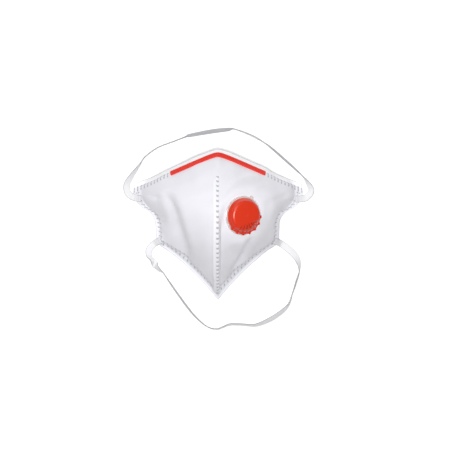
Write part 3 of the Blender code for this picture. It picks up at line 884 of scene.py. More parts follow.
@dataclass(frozen=True)
class BodyForm:
    """The mask's body as a height over the table, with the sizes of the solids.

    The foot fields say where the dome comes down, the patch fields how it eases
    into the valve's flat seat, the clear fields where creases stop short of the
    valve, and the pressed and hem fields where the plies are drawn together. The
    dip is the fall beside the seam: it deepens below its top, goes down over its
    wall and comes back over its tail. Room share is how much of the height over
    the table a crease may take.
    """

    wing: float
    length: float
    waist: float = 62 * MM
    wing_drop: float = 34.5 * MM
    corner_rise: float = 56.5 * MM
    chin_slope: float = 1.25
    nose_round: float = 6 * MM
    crown: float = 60 * MM
    nose_height: float = 19 * MM
    crown_place: float = 0.47
    chin_foot: float = 0.975
    wing_foot: float = 77 * MM
    foot_narrows: tuple[float, float] = (0.25, 0.75)
    flange: float = 3.5 * MM
    nose_power: float = 1.8
    lean: float = 0.5
    power: float = 4.0
    least_drop: float = 5 * MM
    blend: float = 3 * MM
    stack: float = 3 * MM
    valve: tuple[float, float] = (24.297 * MM, 9.1 * MM)
    valve_tilt: float = math.radians(27.5)
    valve_heading: float = math.radians(-10)
    valve_clock: float = math.radians(20)
    valve_sink: float = 2.2 * MM
    patch_radius: float = 20.3 * MM
    patch_fade: float = 26 * MM
    clear_radius: float = 19.5 * MM
    clear_fade: float = 7 * MM
    hem: float = 3.4 * MM
    hem_fade: float = 2.2 * MM
    pressed_from: float = 40 * MM
    pressed_fade: float = 22 * MM
    hem_squeeze: float = 0.5
    swell: float = 0.45 * MM
    seam_dip: float = 2.2 * MM
    dip_top: float = 17 * MM
    dip_ease: float = 26 * MM
    dip_start: float = 1.0 * MM
    dip_wall: float = 3.6 * MM
    dip_tail: float = 11 * MM
    room_share: float = 0.6
    creases: tuple[Crease, ...] = ()

    def top_line(self, x: Array) -> Array:
        """Y of the top edge at x: a straight fall each side of a rounded nose."""
        run = np.hypot(self.wing, self.nose_round) - self.nose_round
        fall = np.hypot(x, self.nose_round) - self.nose_round
        return self.length / 2 - self.wing_drop / run * fall

    def bottom_line(self, x: Array) -> Array:
        """Y of the lower edge at x: a parabola that is steepest at the chin."""
        flatten = (self.chin_slope * self.waist - self.corner_rise) / self.waist**2
        return -self.length / 2 + self.chin_slope * np.abs(x) - flatten * np.square(x)

    def share_down(self, x: Array, y: Array) -> Array:
        """How far (x, y) is from the top edge (0) to the lower edge (1)."""
        return (self.top_line(x) - y) / (self.top_line(x) - self.bottom_line(x))

    def side_line(self, share: Array) -> Array:
        """Half-width of the body where the rows at this share down end."""
        outline = smooth_through(
            [(at, self.wing + out * MM) for at, out in WING_SIDE]
            + [(at, self.waist + out * MM) for at, out in WAIST_SIDE], 32)
        return np.interp(share, outline[:, 0], outline[:, 1])

    def ridge(self, share: Array) -> Array:
        """Height of the ridge: two powers of the distance from the crown's place."""
        rise = np.clip((self.crown_place - share) / self.crown_place, 0, None)
        fall = np.clip((share - self.crown_place) / (self.chin_foot - self.crown_place), 0, None)
        drop = (self.crown - self.nose_height) * rise**self.nose_power
        return self.crown - drop - self.crown * fall**2

    def foot_line(self, share: Array) -> Array:
        """Half-width of the dome's foot, narrowing from the wings to the waist."""
        start, end = self.foot_narrows
        narrowing = self.wing_foot - (self.waist - self.flange)
        return self.wing_foot - narrowing * smoothstep((share - start) / (end - start))

    def dome(self, x: Array, y: Array) -> Array:
        """Height before the valve's patch: the ridge less a straight and a steep fall."""
        share = self.share_down(x, y)
        s = np.abs(x) / self.foot_line(share)
        peak = self.ridge(share)
        fall = self.lean * s + (1 - self.lean) * s**self.power
        z = peak - np.maximum(peak, self.least_drop) * fall
        k = self.blend
        return self.stack + np.where(z > k, z, np.where(z < -k, 0, np.square(z + k) / (4 * k)))

    def valve_level(self) -> float:
        """Height of the flat patch at the valve's centre."""
        return float(self.dome(*map(np.float64, self.valve))) - self.valve_sink

    def valve_matrix(self, out: float = 0.0) -> Matrix:
        """The valve's frame, this far out: Y away from its vents and Z out of the face."""
        place = Matrix.Translation((*self.valve, self.valve_level()))
        lean = Matrix.Rotation(self.valve_heading, 4, "Z") @ Matrix.Rotation(
            self.valve_tilt, 4, "Y")
        clock = Matrix.Rotation(self.valve_clock - self.valve_heading, 4, "Z")
        return place @ lean @ clock @ Matrix.Translation((0, 0, out))

    def valve_distance(self, x: Array, y: Array) -> tuple[Array, Array]:
        """Distance from the valve's centre along its plane, and the part of it downhill."""
        dx, dy = x - self.valve[0], y - self.valve[1]
        lean_x, lean_y = math.cos(self.valve_heading), math.sin(self.valve_heading)
        downhill, sideways = lean_x * dx + lean_y * dy, lean_x * dy - lean_y * dx
        return np.hypot(downhill / math.cos(self.valve_tilt), sideways), downhill

    def height(self, x: Array, y: Array) -> Array:
        """Height of the outer face, the dome eased into a flat patch under the valve."""
        far, downhill = self.valve_distance(x, y)
        narrow = math.hypot(math.cos(self.valve_heading) * math.cos(self.valve_tilt),
                            math.sin(self.valve_heading))
        room = self.valve[0] / narrow - self.patch_radius
        reach = room + self.patch_fade * (1 + downhill / np.maximum(far, 1e-9)) / 2
        weight = 1 - smoothstep((far - self.patch_radius) / reach)
        plane = self.valve_level() - math.tan(self.valve_tilt) * downhill
        return self.dome(x, y) * (1 - weight) + plane * weight

    def normals(self, x: Array, y: Array) -> Array:
        """Outward unit normals, from the height's slopes."""
        slope_x = slope_of(lambda moved: self.height(moved, y), x)
        slope_y = slope_of(lambda moved: self.height(x, moved), y)
        return unit(triple(-slope_x, -slope_y, 1.0))

    def edge_distances(self, x: Array, y: Array) -> tuple[Array, Array, Array]:
        """Distance in from the top edge, the side and the lower edge."""
        top = (self.top_line(x) - y) / np.hypot(1, slope_of(self.top_line, x))
        low = (y - self.bottom_line(x)) / np.hypot(1, slope_of(self.bottom_line, x))
        return top, self.side_line(self.share_down(x, y)) - np.abs(x), low

    def relief(self, x: Array, y: Array) -> Array:
        """Soft creases, a slow swell, and a dip along the +X side of the seam.

        The swell is a sum of slow sines. The dip falls in an even curve just beside
        the seam and comes back up exponentially. All of it fades out on the flat
        hems and under the valve's ring, and the creases and swell at the seam too.
        What goes down is held in by a hyperbolic tangent of the room to the table.

        Args:
            x: X of each point.
            y: Y of each point.

        Returns:
            Height over the smooth surface, in metres.
        """
        swell = self.swell * (
            np.sin(x * 150 + y * 60 + 0.7) * np.sin(y * 95 - x * 40 + 1.1)
            + 0.6 * np.sin(x * 260 - y * 170 + 2.0) * np.sin(y * 210 + x * 90))
        deepening = smoothstep((self.dip_top - y) / self.dip_ease)
        fall = smoothstep((x - self.dip_start) / self.dip_wall)
        back = np.clip(x - self.dip_start - self.dip_wall, 0, None) / self.dip_tail
        dip = self.seam_dip * deepening * fall * np.exp(-back)
        folds = swell + sum(crease.relief(x, y) for crease in self.creases)
        far, _ = self.valve_distance(x, y)
        raised = smoothstep((self.height(x, y) - self.stack) / (5 * MM))
        clear = smoothstep((far - self.clear_radius) / self.clear_fade)
        beside = smoothstep((np.abs(x) - 1 * MM) / (4 * MM))
        total = (folds * beside - dip) * raised * clear
        room = self.room_share * np.maximum(self.height(x, y) - self.stack, 0.1 * MM)
        return np.where(total < 0, room * np.tanh(total / room), total)

    def hem_share(self, x: Array, y: Array) -> Array:
        """1 on the pressed hems, 0 inside them; the top one is pressed on the wings only."""
        top, side, low = self.edge_distances(x, y)
        on_wing = smoothstep((np.abs(x) - self.pressed_from) / self.pressed_fade)
        along_top = (1 - smoothstep((top - self.hem) / self.hem_fade)) * on_wing
        nearest = np.minimum(side, low)
        return np.maximum(1 - smoothstep((nearest - self.hem) / self.hem_fade), along_top)

    def face(self, x: Array, y: Array, depth: float = 0.0) -> Array:
        """Points of the face this deep in the stack, drawn together where the hem is pressed.

        Args:
            x: X of each point.
            y: Y of each point.
            depth: How far under the cover's outer face.

        Returns:
            The points, in the row frame.
        """
        x, y = np.broadcast_arrays(np.asarray(x, float), np.asarray(y, float))
        squeeze = 1 - self.hem_squeeze * self.hem_share(x, y)
        lift = self.relief(x, y) - (self.stack - (self.stack - depth) * squeeze)
        return triple(x, y, self.height(x, y)) + lift[..., None] * self.normals(x, y)

    def inside(self, x: Array, y: Array) -> Array:
        """True where (x, y) is over the body."""
        share = self.share_down(x, y)
        return (share >= 0) & (share <= 1) & (np.abs(x) <= self.side_line(share))

    def grid(self, rows: int, columns: int) -> tuple[Array, Array]:
        """X and Y of a grid over the body, closer together at the seam and the hems.

        Args:
            rows: Rows from the top edge to the lower edge.
            columns: Columns on each side of the seam.

        Returns:
            Two arrays, rows by twice the columns and one.
        """
        t = np.linspace(0, 1, rows)
        share = (t - 0.09 * np.sin(2 * math.pi * t))[:, None]
        u = np.linspace(0, 1, columns + 1)
        u = u - 0.07 * np.sin(2 * math.pi * u)
        u = np.concatenate([-u[:0:-1], u])[None, :]
        x = self.side_line(share) * u
        return x, (1 - share) * self.top_line(x) + share * self.bottom_line(x)


class Ply(Enum):
    """The plies, from the outside in: name, node, depth, thickness and grid."""

    COVER = ("cover_ply", "outer_cover", 0.0, 0.5 * MM, 160, 112)
    SUPPORT = ("support_ply", "support_layer", 0.8 * MM, 0.8 * MM, 70, 50)
    FILTER = ("filter_ply", "filter_layer", 1.9 * MM, 0.4 * MM, 70, 50)
    LINING = ("lining_ply", "inner_lining", 2.6 * MM, 0.4 * MM, 120, 80)


TOP_WELDS = WeldRow("top_weld", 3.7 * MM, 5.9 * MM, 0.40 * MM, 0.80 * MM, 52 * MM, 91 * MM,
                    spread=1.25 * MM)
SIDE_WELDS = WeldRow("side_weld", 4.1 * MM, 4.0 * MM, 0.35 * MM, 0.45 * MM, 8 * MM, 96 * MM,
                     spread=1.1 * MM)
LOW_WELDS = WeldRow("low_weld", 4.9 * MM, 3.9 * MM, 0.40 * MM, 0.40 * MM, 5 * MM, 86 * MM,
                    spread=1.1 * MM)
SEAM_WELDS = WeldRow("seam_weld", 5.4 * MM, 0.4 * MM, 0.75 * MM, 0.7 * MM, 2 * MM, 190 * MM,
                     slant=0.5)


@dataclass
class MaskBody:
    """The four fabric plies, with the centre seam's allowance, the fin, on the cover."""

    form: BodyForm
    hole: float = 14.6 * MM
    fin_width: float = 4.6 * MM
    fin_thick: float = 0.9 * MM
    fin_foot: float = 0.9 * MM
    fin_taper: float = 9 * MM
    fin_start: float = 0.173
    fin_end: float = 0.965
    flat_width: float = 0.205
    flat_length: float = 0.200
    flat_area: float = 0.0258

    def build(self) -> None:
        """Builds and dresses every ply."""
        white = NonwovenFinish("cover_spunbond", rows=(TOP_WELDS, SIDE_WELDS, LOW_WELDS,
                                                       SEAM_WELDS)).material()
        felt = FeltFinish("support_felt", (0.80, 0.80, 0.78)).material()
        web = FeltFinish("filter_web", (0.88, 0.88, 0.86), 900.0).material()
        lining = NonwovenFinish("lining_spunbond", (0.84, 0.84, 0.86),
                                rows=(TOP_WELDS, SIDE_WELDS, LOW_WELDS)).material()
        for ply, material in zip(Ply, (white, felt, web, lining)):
            self.make_ply(ply, material)

    def make_ply(self, ply: Ply, material: Material) -> None:
        """Builds one ply as a closed sheet with the valve's hole.

        Args:
            ply: Which one.
            material: Its finish.
        """
        name, node, depth, thick, rows, columns = ply.value
        x, y = self.form.grid(rows, columns)
        x, y, kept = self.open_hole(x, y)
        points, quads = sandwich(self.form.face(x, y, depth)[:, ::-1],
                                 self.form.face(x, y, depth + thick)[:, ::-1], kept[:, ::-1])
        carried = {label: np.tile(values[:, ::-1].reshape(-1, 3), (2, 1))
                   for label, values in self.carried(x, y).items()}
        shell = Shell()
        shell.add(points, quads, **carried)
        if ply is Ply.COVER:
            self.add_fin(shell)
        piece = settle(shell, name, node, MASK_BODY, material, 60)

    def open_hole(self, x: Array, y: Array) -> tuple[Array, Array, Array]:
        """Opens the valve's hole in a grid and draws its edge out to a true circle.

        Args:
            x: X of the grid.
            y: Y of the grid.

        Returns:
            X and Y with the hole's edge moved, and which cells are kept.
        """
        form = self.form
        far, _ = form.valve_distance(x, y)
        kept = (far[:-1, :-1] + far[1:, :-1] + far[:-1, 1:] + far[1:, 1:]) / 4 > self.hole
        ringed = np.pad(kept, 1, constant_values=True)
        beside = np.stack([ringed[:-1, :-1], ringed[1:, :-1], ringed[:-1, 1:], ringed[1:, 1:]])
        edge = beside.any(axis=0) & ~beside.all(axis=0)
        pull = np.where(edge, self.hole / far, 1)
        x = form.valve[0] + (x - form.valve[0]) * pull
        y = form.valve[1] + (y - form.valve[1]) * pull
        return x, y, kept

    def carried(self, x: Array, y: Array) -> dict[str, Array]:
        """Cloth coordinates and the place along and in from each edge, for the finishes.

        Args:
            x: X of the grid.
            y: Y of the grid.

        Returns:
            Vectors by name, one for each point of the grid.
        """
        form = self.form
        points = form.face(x, y)
        middle = x.shape[1] // 2
        steps = np.linalg.norm(np.diff(points, axis=1), axis=2)
        across = np.concatenate([0 * x[:, :1], np.cumsum(steps, axis=1)], axis=1)
        across = across - across[:, middle:middle + 1]
        rows = np.linalg.norm(np.diff(points, axis=0), axis=2)
        along = np.concatenate([0 * x[:1], np.cumsum(rows, axis=0)], axis=0)
        seam = np.broadcast_to(along[:, middle:middle + 1], x.shape)
        top, side, low = form.edge_distances(x, y)
        width = np.linspace(0, form.wing, 200)
        far = np.abs(x)
        runs = [run_lengths(np.stack([width, line(width)], 1))
                for line in (form.top_line, form.bottom_line)]
        share = np.linspace(0, 1, 200)
        half = form.side_line(share)
        outline = np.stack([half, (1 - share) * form.top_line(half)
                            + share * form.bottom_line(half)], 1)
        down = np.interp(form.share_down(x, y), share, run_lengths(outline))
        return {
            "cloth": triple(across, along, 0.0),
            "top_weld": triple(np.interp(far, width, runs[0]), top, 0.0),
            "side_weld": triple(down, side, 0.0),
            "low_weld": triple(np.interp(far, width, runs[1]), low, 0.0),
            "seam_weld": triple(seam, 1.0, 0.0),
        }

    def add_fin(self, shell: Shell) -> None:
        """Adds the seam's welded allowance, a flat band that leans over towards -X.

        Its section is a thin rounded bar from just across the ridge to its free
        edge, carried along the ridge. The free edge waves a little, and each weld
        presses a dent into it.

        Args:
            shell: The cover's shell.
        """
        form = self.form
        share = np.linspace(self.fin_start, self.fin_end, 330)
        y = form.length * (0.5 - share)
        ridge = form.face(0 * y, y)
        run = run_lengths(ridge)
        ends = np.minimum(run, run[-1] - run)
        width = self.fin_width * (0.15 + 0.85 * smoothstep(ends / self.fin_taper))
        width = width * (1 + 0.05 * np.sin(run * 95) + 0.03 * np.sin(run * 230 + 1))
        a, upper = there_and_back(0, 1, 15)
        across = self.fin_foot - a * (self.fin_foot + width[:, None])
        full = np.sqrt(np.clip(1 - np.abs(2 * a - 1)**6, 0, 1))
        wave = 0.25 * MM * a * np.sin(run * 120 + 0.5)[:, None]
        middle = 0.15 * MM + 0.42 * MM * np.sin(a * math.pi * 0.5) + wave
        inset = np.abs(across + 0.1 * MM)
        marks = SEAM_WELDS.marks(run[:, None], inset)
        lift = middle + (upper - 0.5) * self.fin_thick * full - 0.3 * MM * marks * upper
        normal = form.normals(0 * y, y)
        rings = (ridge[:, None] + across[..., None] * np.array([1.0, 0, 0])
                 + lift[..., None] * normal[:, None])
        away = {name: np.ones(rings.shape) for name in EDGES}
        shell.bar(rings, cloth=triple(across, run[:, None], 0.0),
                  seam_weld=triple(run[:, None], inset, 0.0), **away)


# --- nose clip --------------------------------------------------------------------


@dataclass
class NoseClip:
    """The red jacket, its two wires and the foam behind it, along the top edge."""

    form: BodyForm
    half_length: float = 49.3 * MM
    width: float = 5.6 * MM
    thick: float = 1.5 * MM
    inset: float = 6.25 * MM
    gap: float = 0.25 * MM
    wire_place: float = 1.2 * MM
    wire_swell: float = 0.12 * MM
    foam_half_length: float = 42 * MM
    foam_width: float = 9 * MM
    foam_thick: float = 3.5 * MM
    foam_gap: float = 0.35 * MM
    foam_squareness: float = 0.45

    def build(self) -> None:
        """Builds the jacket and the foam, and dresses the wires."""
        self.make_jacket()
        self.make_foam()
        wire = WireFinish("annealed_wire").material()
        for node in ("nose_wire_upper", "nose_wire_lower"):
            dress(frame["nodes"][node], wire)

    def path(self, half_length: float, stations: int) -> tuple[Array, Array]:
        """X and Y along a line parallel to the top edge."""
        x = half_length * np.linspace(-1, 1, stations)
        slope = slope_of(self.form.top_line, x)
        length = np.hypot(1, slope)
        return x + self.inset * slope / length, self.form.top_line(x) - self.inset / length

    def carry(self, half_length: float, stations: int, section: Array) -> Array:
        """Carries a section of (across, lift) points along the nose.

        Args:
            half_length: Half of the bar's length in X.
            stations: How many rings there are.
            section: The points of the section, one row each.

        Returns:
            The rings, stations by section points by 3.
        """
        x, y = self.path(half_length, stations)
        points = triple(x, y, self.form.height(x, y))
        base = np.stack([soften(column, 3) for column in points.T], 1)
        slopes = self.form.normals(x, y)
        normal = unit(np.stack([soften(column, 6) for column in slopes.T], 1))
        along = unit(np.gradient(base, axis=0))
        across = unit(np.cross(normal, along))
        a, lift = section[:, 0], section[:, 1]
        return (base[:, None] + a[None, :, None] * across[:, None]
                + lift[None, :, None] * normal[:, None])

    def make_jacket(self) -> None:
        """Builds the jacket: a rounded strip with a faint swell over each wire."""
        half, low, top, bevel = self.width / 2, self.gap, self.gap + self.thick, 0.1 * MM
        across = np.linspace(half - 0.25 * MM, -half + 0.25 * MM, 23)
        swell = sum(bell((across - c) / (0.5 * MM)) for c in (-self.wire_place, self.wire_place))
        upper = np.stack([across, top - self.wire_swell + self.wire_swell * swell], 1)
        section = np.vstack([upper, [
            (-half, top - 0.35 * MM), (-half, low + bevel), (-half + bevel, low),
            (half - bevel, low), (half, low + bevel), (half, top - 0.35 * MM)]])
        rings = self.carry(self.half_length, 181, section)
        keep = np.ones(len(rings))
        keep[[0, -1]], keep[[1, -2]] = 0.86, 0.97
        shell = Shell()
        shell.bar(drawn_in(rings, keep))
        red = MouldedFinish("clip_red", (0.74, 0.022, 0.008), 0.5, gloss=0.3).material()
        settle(shell, "nose_clip", "nose_clip_jacket", MASK_BODY, red, 50)

    def make_foam(self) -> None:
        """Builds the foam: a crowned pad stuck to the lining, softer at its free edges."""
        half, top = self.foam_width / 2, -self.form.stack - self.foam_gap
        a = np.linspace(0, 2 * math.pi, 40, endpoint=False)
        flat = np.sign(np.cos(a)) * np.abs(np.cos(a))**self.foam_squareness
        deep = np.sign(np.sin(a)) * np.abs(np.sin(a))**self.foam_squareness
        section = np.stack([half * flat, top - self.foam_thick / 2 * (1 + deep)], 1)
        rings = self.carry(self.foam_half_length, 121, section)
        run = np.linspace(-1, 1, len(rings))
        shell = Shell()
        shell.bar(drawn_in(rings, np.sqrt(np.clip(1 - np.abs(run)**40, 0.12, 1))))
        piece = settle(shell, "nose_foam_pad", "nose_foam", MASK_BODY,
                       FoamFinish("open_cell_foam").material(), 50)


# --- exhalation valve -----------------------------------------------------------------


VALVE_SMOOTH = 38  # degrees, the sharpest edge that stays smooth on the valve's pieces
# Shares of the cap's profile at which its face, its shoulder and its side end.
FACE_END, SHOULDER_END, SIDE_END = 0.45, 0.70, 0.88
VENT_START, VENT_END = 0.475, 0.80  # the vents' share of the same profile


@dataclass
class ExhalationValve:
    """Ring, seat, flap and cap, in the valve's own frame."""

    form: BodyForm
    gap: float = 0.3 * MM
    throat: float = 12.9 * MM
    throat_wall: float = 1.5 * MM
    ring: float = 19.5 * MM
    ring_thick: float = 1.6 * MM
    collar: float = 15.9 * MM
    collar_rise: float = 0.8 * MM
    lug_angle: float = math.radians(43)
    seat_standoff: float = 1.5 * MM
    seat_flange: float = 17 * MM
    seat_flange_thick: float = 1.5 * MM
    spokes: int = 3
    flap_radius: float = 13.6 * MM
    flap_thick: float = 0.5 * MM
    hinge: float = 11 * MM
    cap_wall: float = 1.3 * MM
    cap_height: float = 7 * MM
    cap_skirt: float = 1.2 * MM
    cap_draft: float = 1.5 * MM
    cap_shoulder: float = 3 * MM
    cap_crown: float = 0.8 * MM
    rib_step: float = 0.35 * MM
    rib_power: float = 3.2
    rib_thinning: float = 0.34
    vents: int = 7
    vent_pitch: float = math.radians(16)
    vent_half_angle: float = math.radians(2.3)
    vent_chord: float = 7.2 * MM
    beads: int = 7
    bead_spread: float = math.radians(130)

    def build(self) -> None:
        """Builds and dresses the four pieces."""
        # The milky ring's pink tint is a painted reflection of the red cap.
        milk = MouldedFinish("milky_plastic", (0.88, 0.78, 0.77), 0.22, clearness=0.35,
                             softness=0.1).material()
        seat = MouldedFinish("seat_plastic", (0.80, 0.81, 0.82), 0.35).material()
        red = MouldedFinish("cap_red", (0.70, 0.036, 0.009), 0.34, softness=0.05).material()
        self.make_ring(milk)
        self.make_seat(seat)
        self.make_flap(SiliconeFinish("cast_silicone").material())
        self.make_cap(red)

    def make_ring(self, material: Material) -> None:
        """Builds the outer ring: a stepped, rounded profile turned, with a small lug."""
        bore, low = self.throat + self.gap, self.gap
        top = low + self.ring_thick
        profile = rounded_profile([
            (bore, low), (self.ring, low), (self.ring, top - 0.5 * MM),
            (self.ring - 0.9 * MM, top), (self.ring - 1.5 * MM, top - 0.25 * MM),
            (self.collar + 0.6 * MM, top - 0.25 * MM), (self.collar, top),
            (self.collar, top + self.collar_rise), (bore, top + self.collar_rise)], 0.22 * MM)
        shell = Shell()
        shell.bar(turned_rings(profile, self.form.valve_matrix(), 160), closed=True)
        self.add_lug(shell, low, top)
        settle(shell, "valve_outer_ring", "valve_ring", MASK_BODY, material, VALVE_SMOOTH)

    def add_lug(self, shell: Shell, low: float, top: float) -> None:
        """Adds the lug on the ring's edge, its outline drawn in at the top and the bottom.

        Args:
            shell: The ring's shell.
            low: Height of the ring's underside.
            top: Height of the ring's face.
        """
        root, tip = self.ring - 1.2 * MM, self.ring + 1.6 * MM
        outline = rounded_profile([(root, -2.4 * MM), (tip, -2 * MM), (tip, 2 * MM),
                                   (root, 2.4 * MM)], 0.8 * MM)
        keep = np.array([0.96, 1, 1, 0.95])
        level = np.array([low + 0.15 * MM, low + 0.3 * MM, top - 0.4 * MM, top - 0.2 * MM])
        flat = drawn_in(np.broadcast_to(outline, (len(keep), *outline.shape)), keep)
        rings = triple(flat[..., 0], flat[..., 1], level[:, None])
        turn = self.form.valve_matrix() @ Matrix.Rotation(self.lug_angle, 4, "Z")
        shell.bar(placed(rings, turn))

    def rim(self) -> float:
        """Height of the seat's sealing rim."""
        return self.gap + self.ring_thick + self.seat_standoff

    def make_seat(self, material: Material) -> None:
        """Builds the seat: a turned flange and throat, with spokes from wall to wall."""
        low = -self.form.stack - 0.45 * MM
        inner, foot, rim = self.throat - self.throat_wall, low - self.seat_flange_thick, self.rim()
        profile = rounded_profile([
            (inner, foot), (self.seat_flange, foot), (self.seat_flange, low),
            (self.throat, low), (self.throat, rim - 0.4 * MM),
            (self.throat - 0.6 * MM, rim), (inner, rim - 0.2 * MM)], 0.3 * MM)
        shell = Shell()
        shell.bar(turned_rings(profile, self.form.valve_matrix(), 128), closed=True)
        reach = self.throat - self.throat_wall / 2
        along = np.array([-reach, reach])[:, None]
        bar = rounded_box((-0.6 * MM, -1.6 * MM), (0.6 * MM, 0), 0.3 * MM)
        top = self.form.valve_matrix(rim - 0.5 * MM)
        for k in range(self.spokes):
            turn = top @ Matrix.Rotation(k * math.pi / self.spokes, 4, "Z")
            shell.bar(placed(triple(along, bar[:, 0], bar[:, 1]), turn))
        hub = rounded_box((0.3 * MM, -1.9 * MM), (1.9 * MM, 0.1 * MM), 0.25 * MM)
        shell.bar(turned_rings(hub, top, 48), closed=True)
        settle(shell, "valve_inner_seat", "valve_seat", MASK_BODY, material, VALVE_SMOOTH)

    def make_flap(self, material: Material) -> None:
        """Builds the flap: a thin disc cut straight at the hinge, with a soft raised rim."""
        start = math.asin(self.hinge / self.flap_radius)
        angle = np.linspace(math.pi - start, 2 * math.pi + start, 97)[:, None]
        share, upper = there_and_back(0.02, 1, 14)
        round_off = np.sqrt(np.clip(1 - np.abs(share)**60, 0.15, 1))
        raised = 0.25 * bell((share - 0.93) / 0.04) * upper
        lift = (2 * upper - 1) * self.flap_thick / 2 * (round_off + raised)
        outline_x, outline_y = self.flap_radius * np.cos(angle), self.flap_radius * np.sin(angle)
        centre_y = -1.0 * MM
        local = triple(outline_x * share, centre_y + (outline_y - centre_y) * share, lift)
        out = self.rim() + self.gap + self.flap_thick / 2
        shell = Shell()
        shell.bar(placed(local, self.form.valve_matrix(out)), closed=True)
        settle(shell, "silicone_flap", "valve_flap", FLAP_BODY, material, VALVE_SMOOTH)

    def cap_foot(self) -> float:
        """Height of the cap's lower edge."""
        return 2 * self.gap + self.ring_thick

    def cap_radius(self) -> float:
        """Radius of the cap's lower edge."""
        return self.collar + self.gap + self.cap_wall

    @staticmethod
    def vented(angle: Array) -> Array:
        """1 in the sector of the cap that has the vents, easing to 0 at its sides."""
        return smoothstep((-np.sin(angle) - 0.18) / 0.2)

    def cap_section(self, angle: Array, t: Array) -> tuple[Array, Array]:
        """The cap's outer face: radius and height at an angle and a share of its profile.

        The profile crosses the gently crowned face, turns over the rounded shoulder
        and then follows the leaning side and the skirt. In the vents' sector the face
        ends at a chord, a small step starts the ribs there, and they curve down to
        the side.

        Args:
            angle: Angle about the cap's axis, rows.
            t: Share of the profile, columns.

        Returns:
            Radius and height, in the valve's frame.
        """
        top = self.cap_foot() + self.cap_height
        neck = self.cap_radius() - self.cap_draft
        face = neck - self.cap_shoulder
        vented = self.vented(angle)
        chord = self.vent_chord / np.maximum(-np.sin(angle), 0.3)
        edge = face + (np.minimum(face, chord) - face) * vented
        turn = np.clip((t - FACE_END) / (SHOULDER_END - FACE_END), 0, 1)
        side = np.clip((t - SHOULDER_END) / (SIDE_END - SHOULDER_END), 0, 1)
        skirt = np.clip((t - SIDE_END) / (1 - SIDE_END), 0, 1)
        round_r = edge + (neck - edge) * np.sin(turn * math.pi / 2)
        round_z = top - self.cap_shoulder * (1 - np.cos(turn * math.pi / 2))
        ribs_r = edge + (neck - edge) * turn
        sweep = (self.cap_shoulder - self.rib_step) * turn**self.rib_power
        ribs_z = top - self.rib_step * smoothstep(turn / 0.12) - sweep
        r = np.where(t < FACE_END, edge * np.clip(t / FACE_END, 0, 1),
                     round_r + (ribs_r - round_r) * vented)
        z = np.where(t < FACE_END, top, round_z + (ribs_z - round_z) * vented)
        r = r + self.cap_draft * side
        z = z - (self.cap_height - self.cap_shoulder - self.cap_skirt) * side
        z = z - self.cap_skirt * skirt
        return r, z + self.cap_crown * np.clip(1 - np.square(r / neck), 0, 1)

    def make_cap(self, material: Material) -> None:
        """Builds the cap: a shell with open vents between ribs, and a beaded lower lip."""
        angle = np.linspace(0, 2 * math.pi, 289)[:, None]
        t = np.concatenate([
            np.linspace(0.01, FACE_END - 0.01, 14), np.linspace(FACE_END, SHOULDER_END, 22),
            np.linspace(SHOULDER_END + 0.02, SIDE_END, 8),
            np.linspace(SIDE_END + 0.03, 1, 4)])[None, :]
        r, z = self.cap_section(angle, t)
        local = triple(r * np.cos(angle), r * np.sin(angle), z)
        normal = grid_normals(local)
        normal[[0, -1]] = unit(normal[:1] + normal[-1:])
        wall = self.cap_wall * (0.9 - self.rib_thinning * self.vented(angle))
        inner = local - wall[..., None] * normal
        middle, share = (angle[:-1] + angle[1:]) / 2, (t[:, :-1] + t[:, 1:]) / 2
        vent = np.arange(self.vents) - (self.vents - 1) / 2
        centres = -math.pi / 2 + vent * self.vent_pitch
        off = np.abs((middle[:, :, None] - centres[None, None, :] + math.pi)
                     % (2 * math.pi) - math.pi).min(axis=2)
        kept = ~((off < self.vent_half_angle) & (share > VENT_START) & (share < VENT_END))
        matrix = self.form.valve_matrix()
        points, quads = sandwich(placed(local, matrix), placed(inner, matrix), kept)
        shell = Shell()
        shell.add(points, quads)
        self.add_lip(shell, matrix)
        piece = settle(shell, "valve_cover_cap", "valve_cap", MASK_BODY, material, VALVE_SMOOTH)
        piece.modifiers.new("close seam", "WELD").merge_threshold = 0.02 * MM

    def add_lip(self, shell: Shell, matrix: Matrix) -> None:
        """Adds the lower lip, a scalloped ledge, with a small pierced bead on each scallop.

        The ledge's outer edge swings out with the cosine of the angle between beads.

        Args:
            shell: The cap's shell.
            matrix: The valve's frame.
        """
        low = self.cap_foot()
        skirt = self.cap_radius() - 0.3 * MM
        pitch = self.bead_spread / (self.beads - 1)
        angle = np.linspace(-0.5 - 0.42 / self.beads, 0.5 + 0.42 / self.beads, 121)[:, None]
        scallop = np.cos(angle * (self.beads - 1) * math.pi)**2
        fade = np.sqrt(np.clip(1 - np.abs(angle * 1.78)**24, 0, 1))
        reach = 0.15 * MM + (1.0 * MM + 0.35 * MM * scallop) * fade
        section = rounded_profile([(0, 0.15 * MM), (1, 0.15 * MM), (1, 1.35 * MM), (0, 1.6 * MM)],
                                  0.3, 3)
        r = skirt + reach * section[None, :, 0]
        turn = -math.pi / 2 + angle * self.bead_spread
        local = triple(r * np.cos(turn), r * np.sin(turn), low + section[None, :, 1])
        shell.bar(placed(local, matrix))
        bead = rounded_profile([(0.8 * MM, 0.0), (1.45 * MM, 0.0), (1.5 * MM, 1.7 * MM),
                                (1.2 * MM, 2.2 * MM), (0.85 * MM, 1.9 * MM)], 0.3 * MM, 3)
        for k in range(self.beads):
            turn = -math.pi / 2 + (k - (self.beads - 1) / 2) * pitch
            place = matrix @ Matrix.Rotation(turn, 4, "Z") @ Matrix.Translation(
                (skirt + 0.75 * MM, 0, low))
            shell.bar(turned_rings(bead, place, 28), closed=True)


# --- straps ---------------------------------------------------------------------------


SECTION_POINTS = 25  # on each face of a strap


